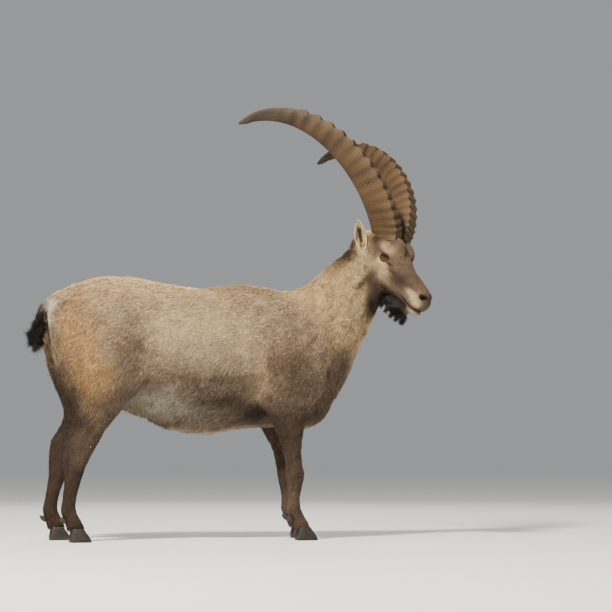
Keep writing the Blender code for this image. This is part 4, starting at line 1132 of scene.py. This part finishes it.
def build_claw(name):
    form = node_form(name)
    bmesh.ops.dissolve_limit(form, angle_limit=radians(1), verts=form.verts, edges=form.edges)
    bmesh.ops.triangulate(form, faces=form.faces)
    bmesh.ops.subdivide_edges(form, edges=form.edges, cuts=2, use_grid_fill=True)
    low = min(vert.co.z for vert in form.verts)
    rims = [vert for vert in form.verts if vert.co.z > low + SOLE_EDGE]
    for _ in range(2):
        bmesh.ops.smooth_vert(
            form, verts=rims, factor=0.5, use_axis_x=True, use_axis_y=True, use_axis_z=True
        )
    claw = shown(form, f"{name}_wall")
    claw.data.shade_smooth()
    spots = read(claw.data.vertices, "co", 3)
    rings = 0.5 + 0.5 * np.sin(spots[:, 2] * 2 * pi / HOOF_RING_STEP + 3 * ripple(spots, 0.02, 61))
    store_colour(claw.data, HOOF_DARK + (HOOF_PALE - HOOF_DARK) * (0.45 * rings)[:, None])
    claw.data.materials.append(hoof_finish)
    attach(claw, "root")
    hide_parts(name)


for name in sorted(CLAWS):
    build_claw(name)

# Floor, light and camera
# A plain pale studio floor, a broad key light from the front left, a weak fill and a light behind.
# The camera stands where the picture was taken from, low and far, with a long lens.

FLOOR_REACH = 60.0
FLOOR_PALE = (0.74, 0.73, 0.71, 1)
FLOOR_GLOW = 0.20
WORLD_GLOW = 0.85
BACKDROP = (0.40, 0.415, 0.43)
form = bmesh.new()
bmesh.ops.create_circle(form, cap_ends=True, segments=96, radius=FLOOR_REACH)
floor = shown(form, "studio_floor")
floor_finish = bpy.data.materials.new("floor_finish")
floor_finish.use_nodes = True
floor_shader = floor_finish.node_tree.nodes["Principled BSDF"]
floor_shader.inputs["Base Color"].default_value = FLOOR_PALE
floor_shader.inputs["Roughness"].default_value = 0.9
floor_shader.inputs["Emission Color"].default_value = (*BACKDROP, 1)
floor_shader.inputs["Emission Strength"].default_value = FLOOR_GLOW
floor.data.materials.append(floor_finish)

world = bpy.data.worlds.new("studio")
bpy.context.scene.world = world
world.use_nodes = True
world.node_tree.nodes["Background"].inputs["Color"].default_value = (*BACKDROP, 1)
world.node_tree.nodes["Background"].inputs["Strength"].default_value = WORLD_GLOW

LIT_AT = Vector((0, 0, 0.7))
LIGHTS = (
    # name, place, size, watts, colour
    ("key", (-2.7, -3.8, 5.2), 0.9, 1180.0, (1.0, 0.91, 0.77)),
    ("fill", (4.2, -2.5, 1.8), 3.0, 40.0, (0.90, 0.94, 1.0)),
    ("behind", (1.0, 4.0, 3.4), 2.0, 110.0, (1.0, 0.97, 0.93)),
)
for name, place, size, watts, tint in LIGHTS:
    lamp = bpy.data.lights.new(name, "AREA")
    lamp.size = size
    lamp.energy = watts
    lamp.color = tint
    holder = bpy.data.objects.new(name, lamp)
    holder.location = place
    holder.rotation_euler = (LIT_AT - Vector(place)).to_track_quat("-Z", "Y").to_euler()
    bpy.context.scene.collection.objects.link(holder)

CAMERA_TURN = radians(-14)
CAMERA_FAR = 7.5
CAMERA_HEIGHT = 0.28
AIM_HEIGHT = 0.79005
BODY_OFF = Vector((0.2676, -0.1542, 0.010))
PIXELS_PER_METRE = 1 / 0.00345
back = Vector((sin(CAMERA_TURN), -cos(CAMERA_TURN), 0))
stand = back * CAMERA_FAR + Vector((0, 0, CAMERA_HEIGHT)) + BODY_OFF
aim = Vector((0, 0, AIM_HEIGHT)) + BODY_OFF
lens = bpy.data.cameras.new("camera")
lens.sensor_width = 36.0
lens.lens = PIXELS_PER_METRE * (aim - stand).length * lens.sensor_width / 612
camera = bpy.data.objects.new("camera", lens)
camera.location = stand
camera.rotation_euler = (aim - stand).to_track_quat("-Z", "Y").to_euler()
bpy.context.scene.collection.objects.link(camera)
bpy.context.scene.camera = camera
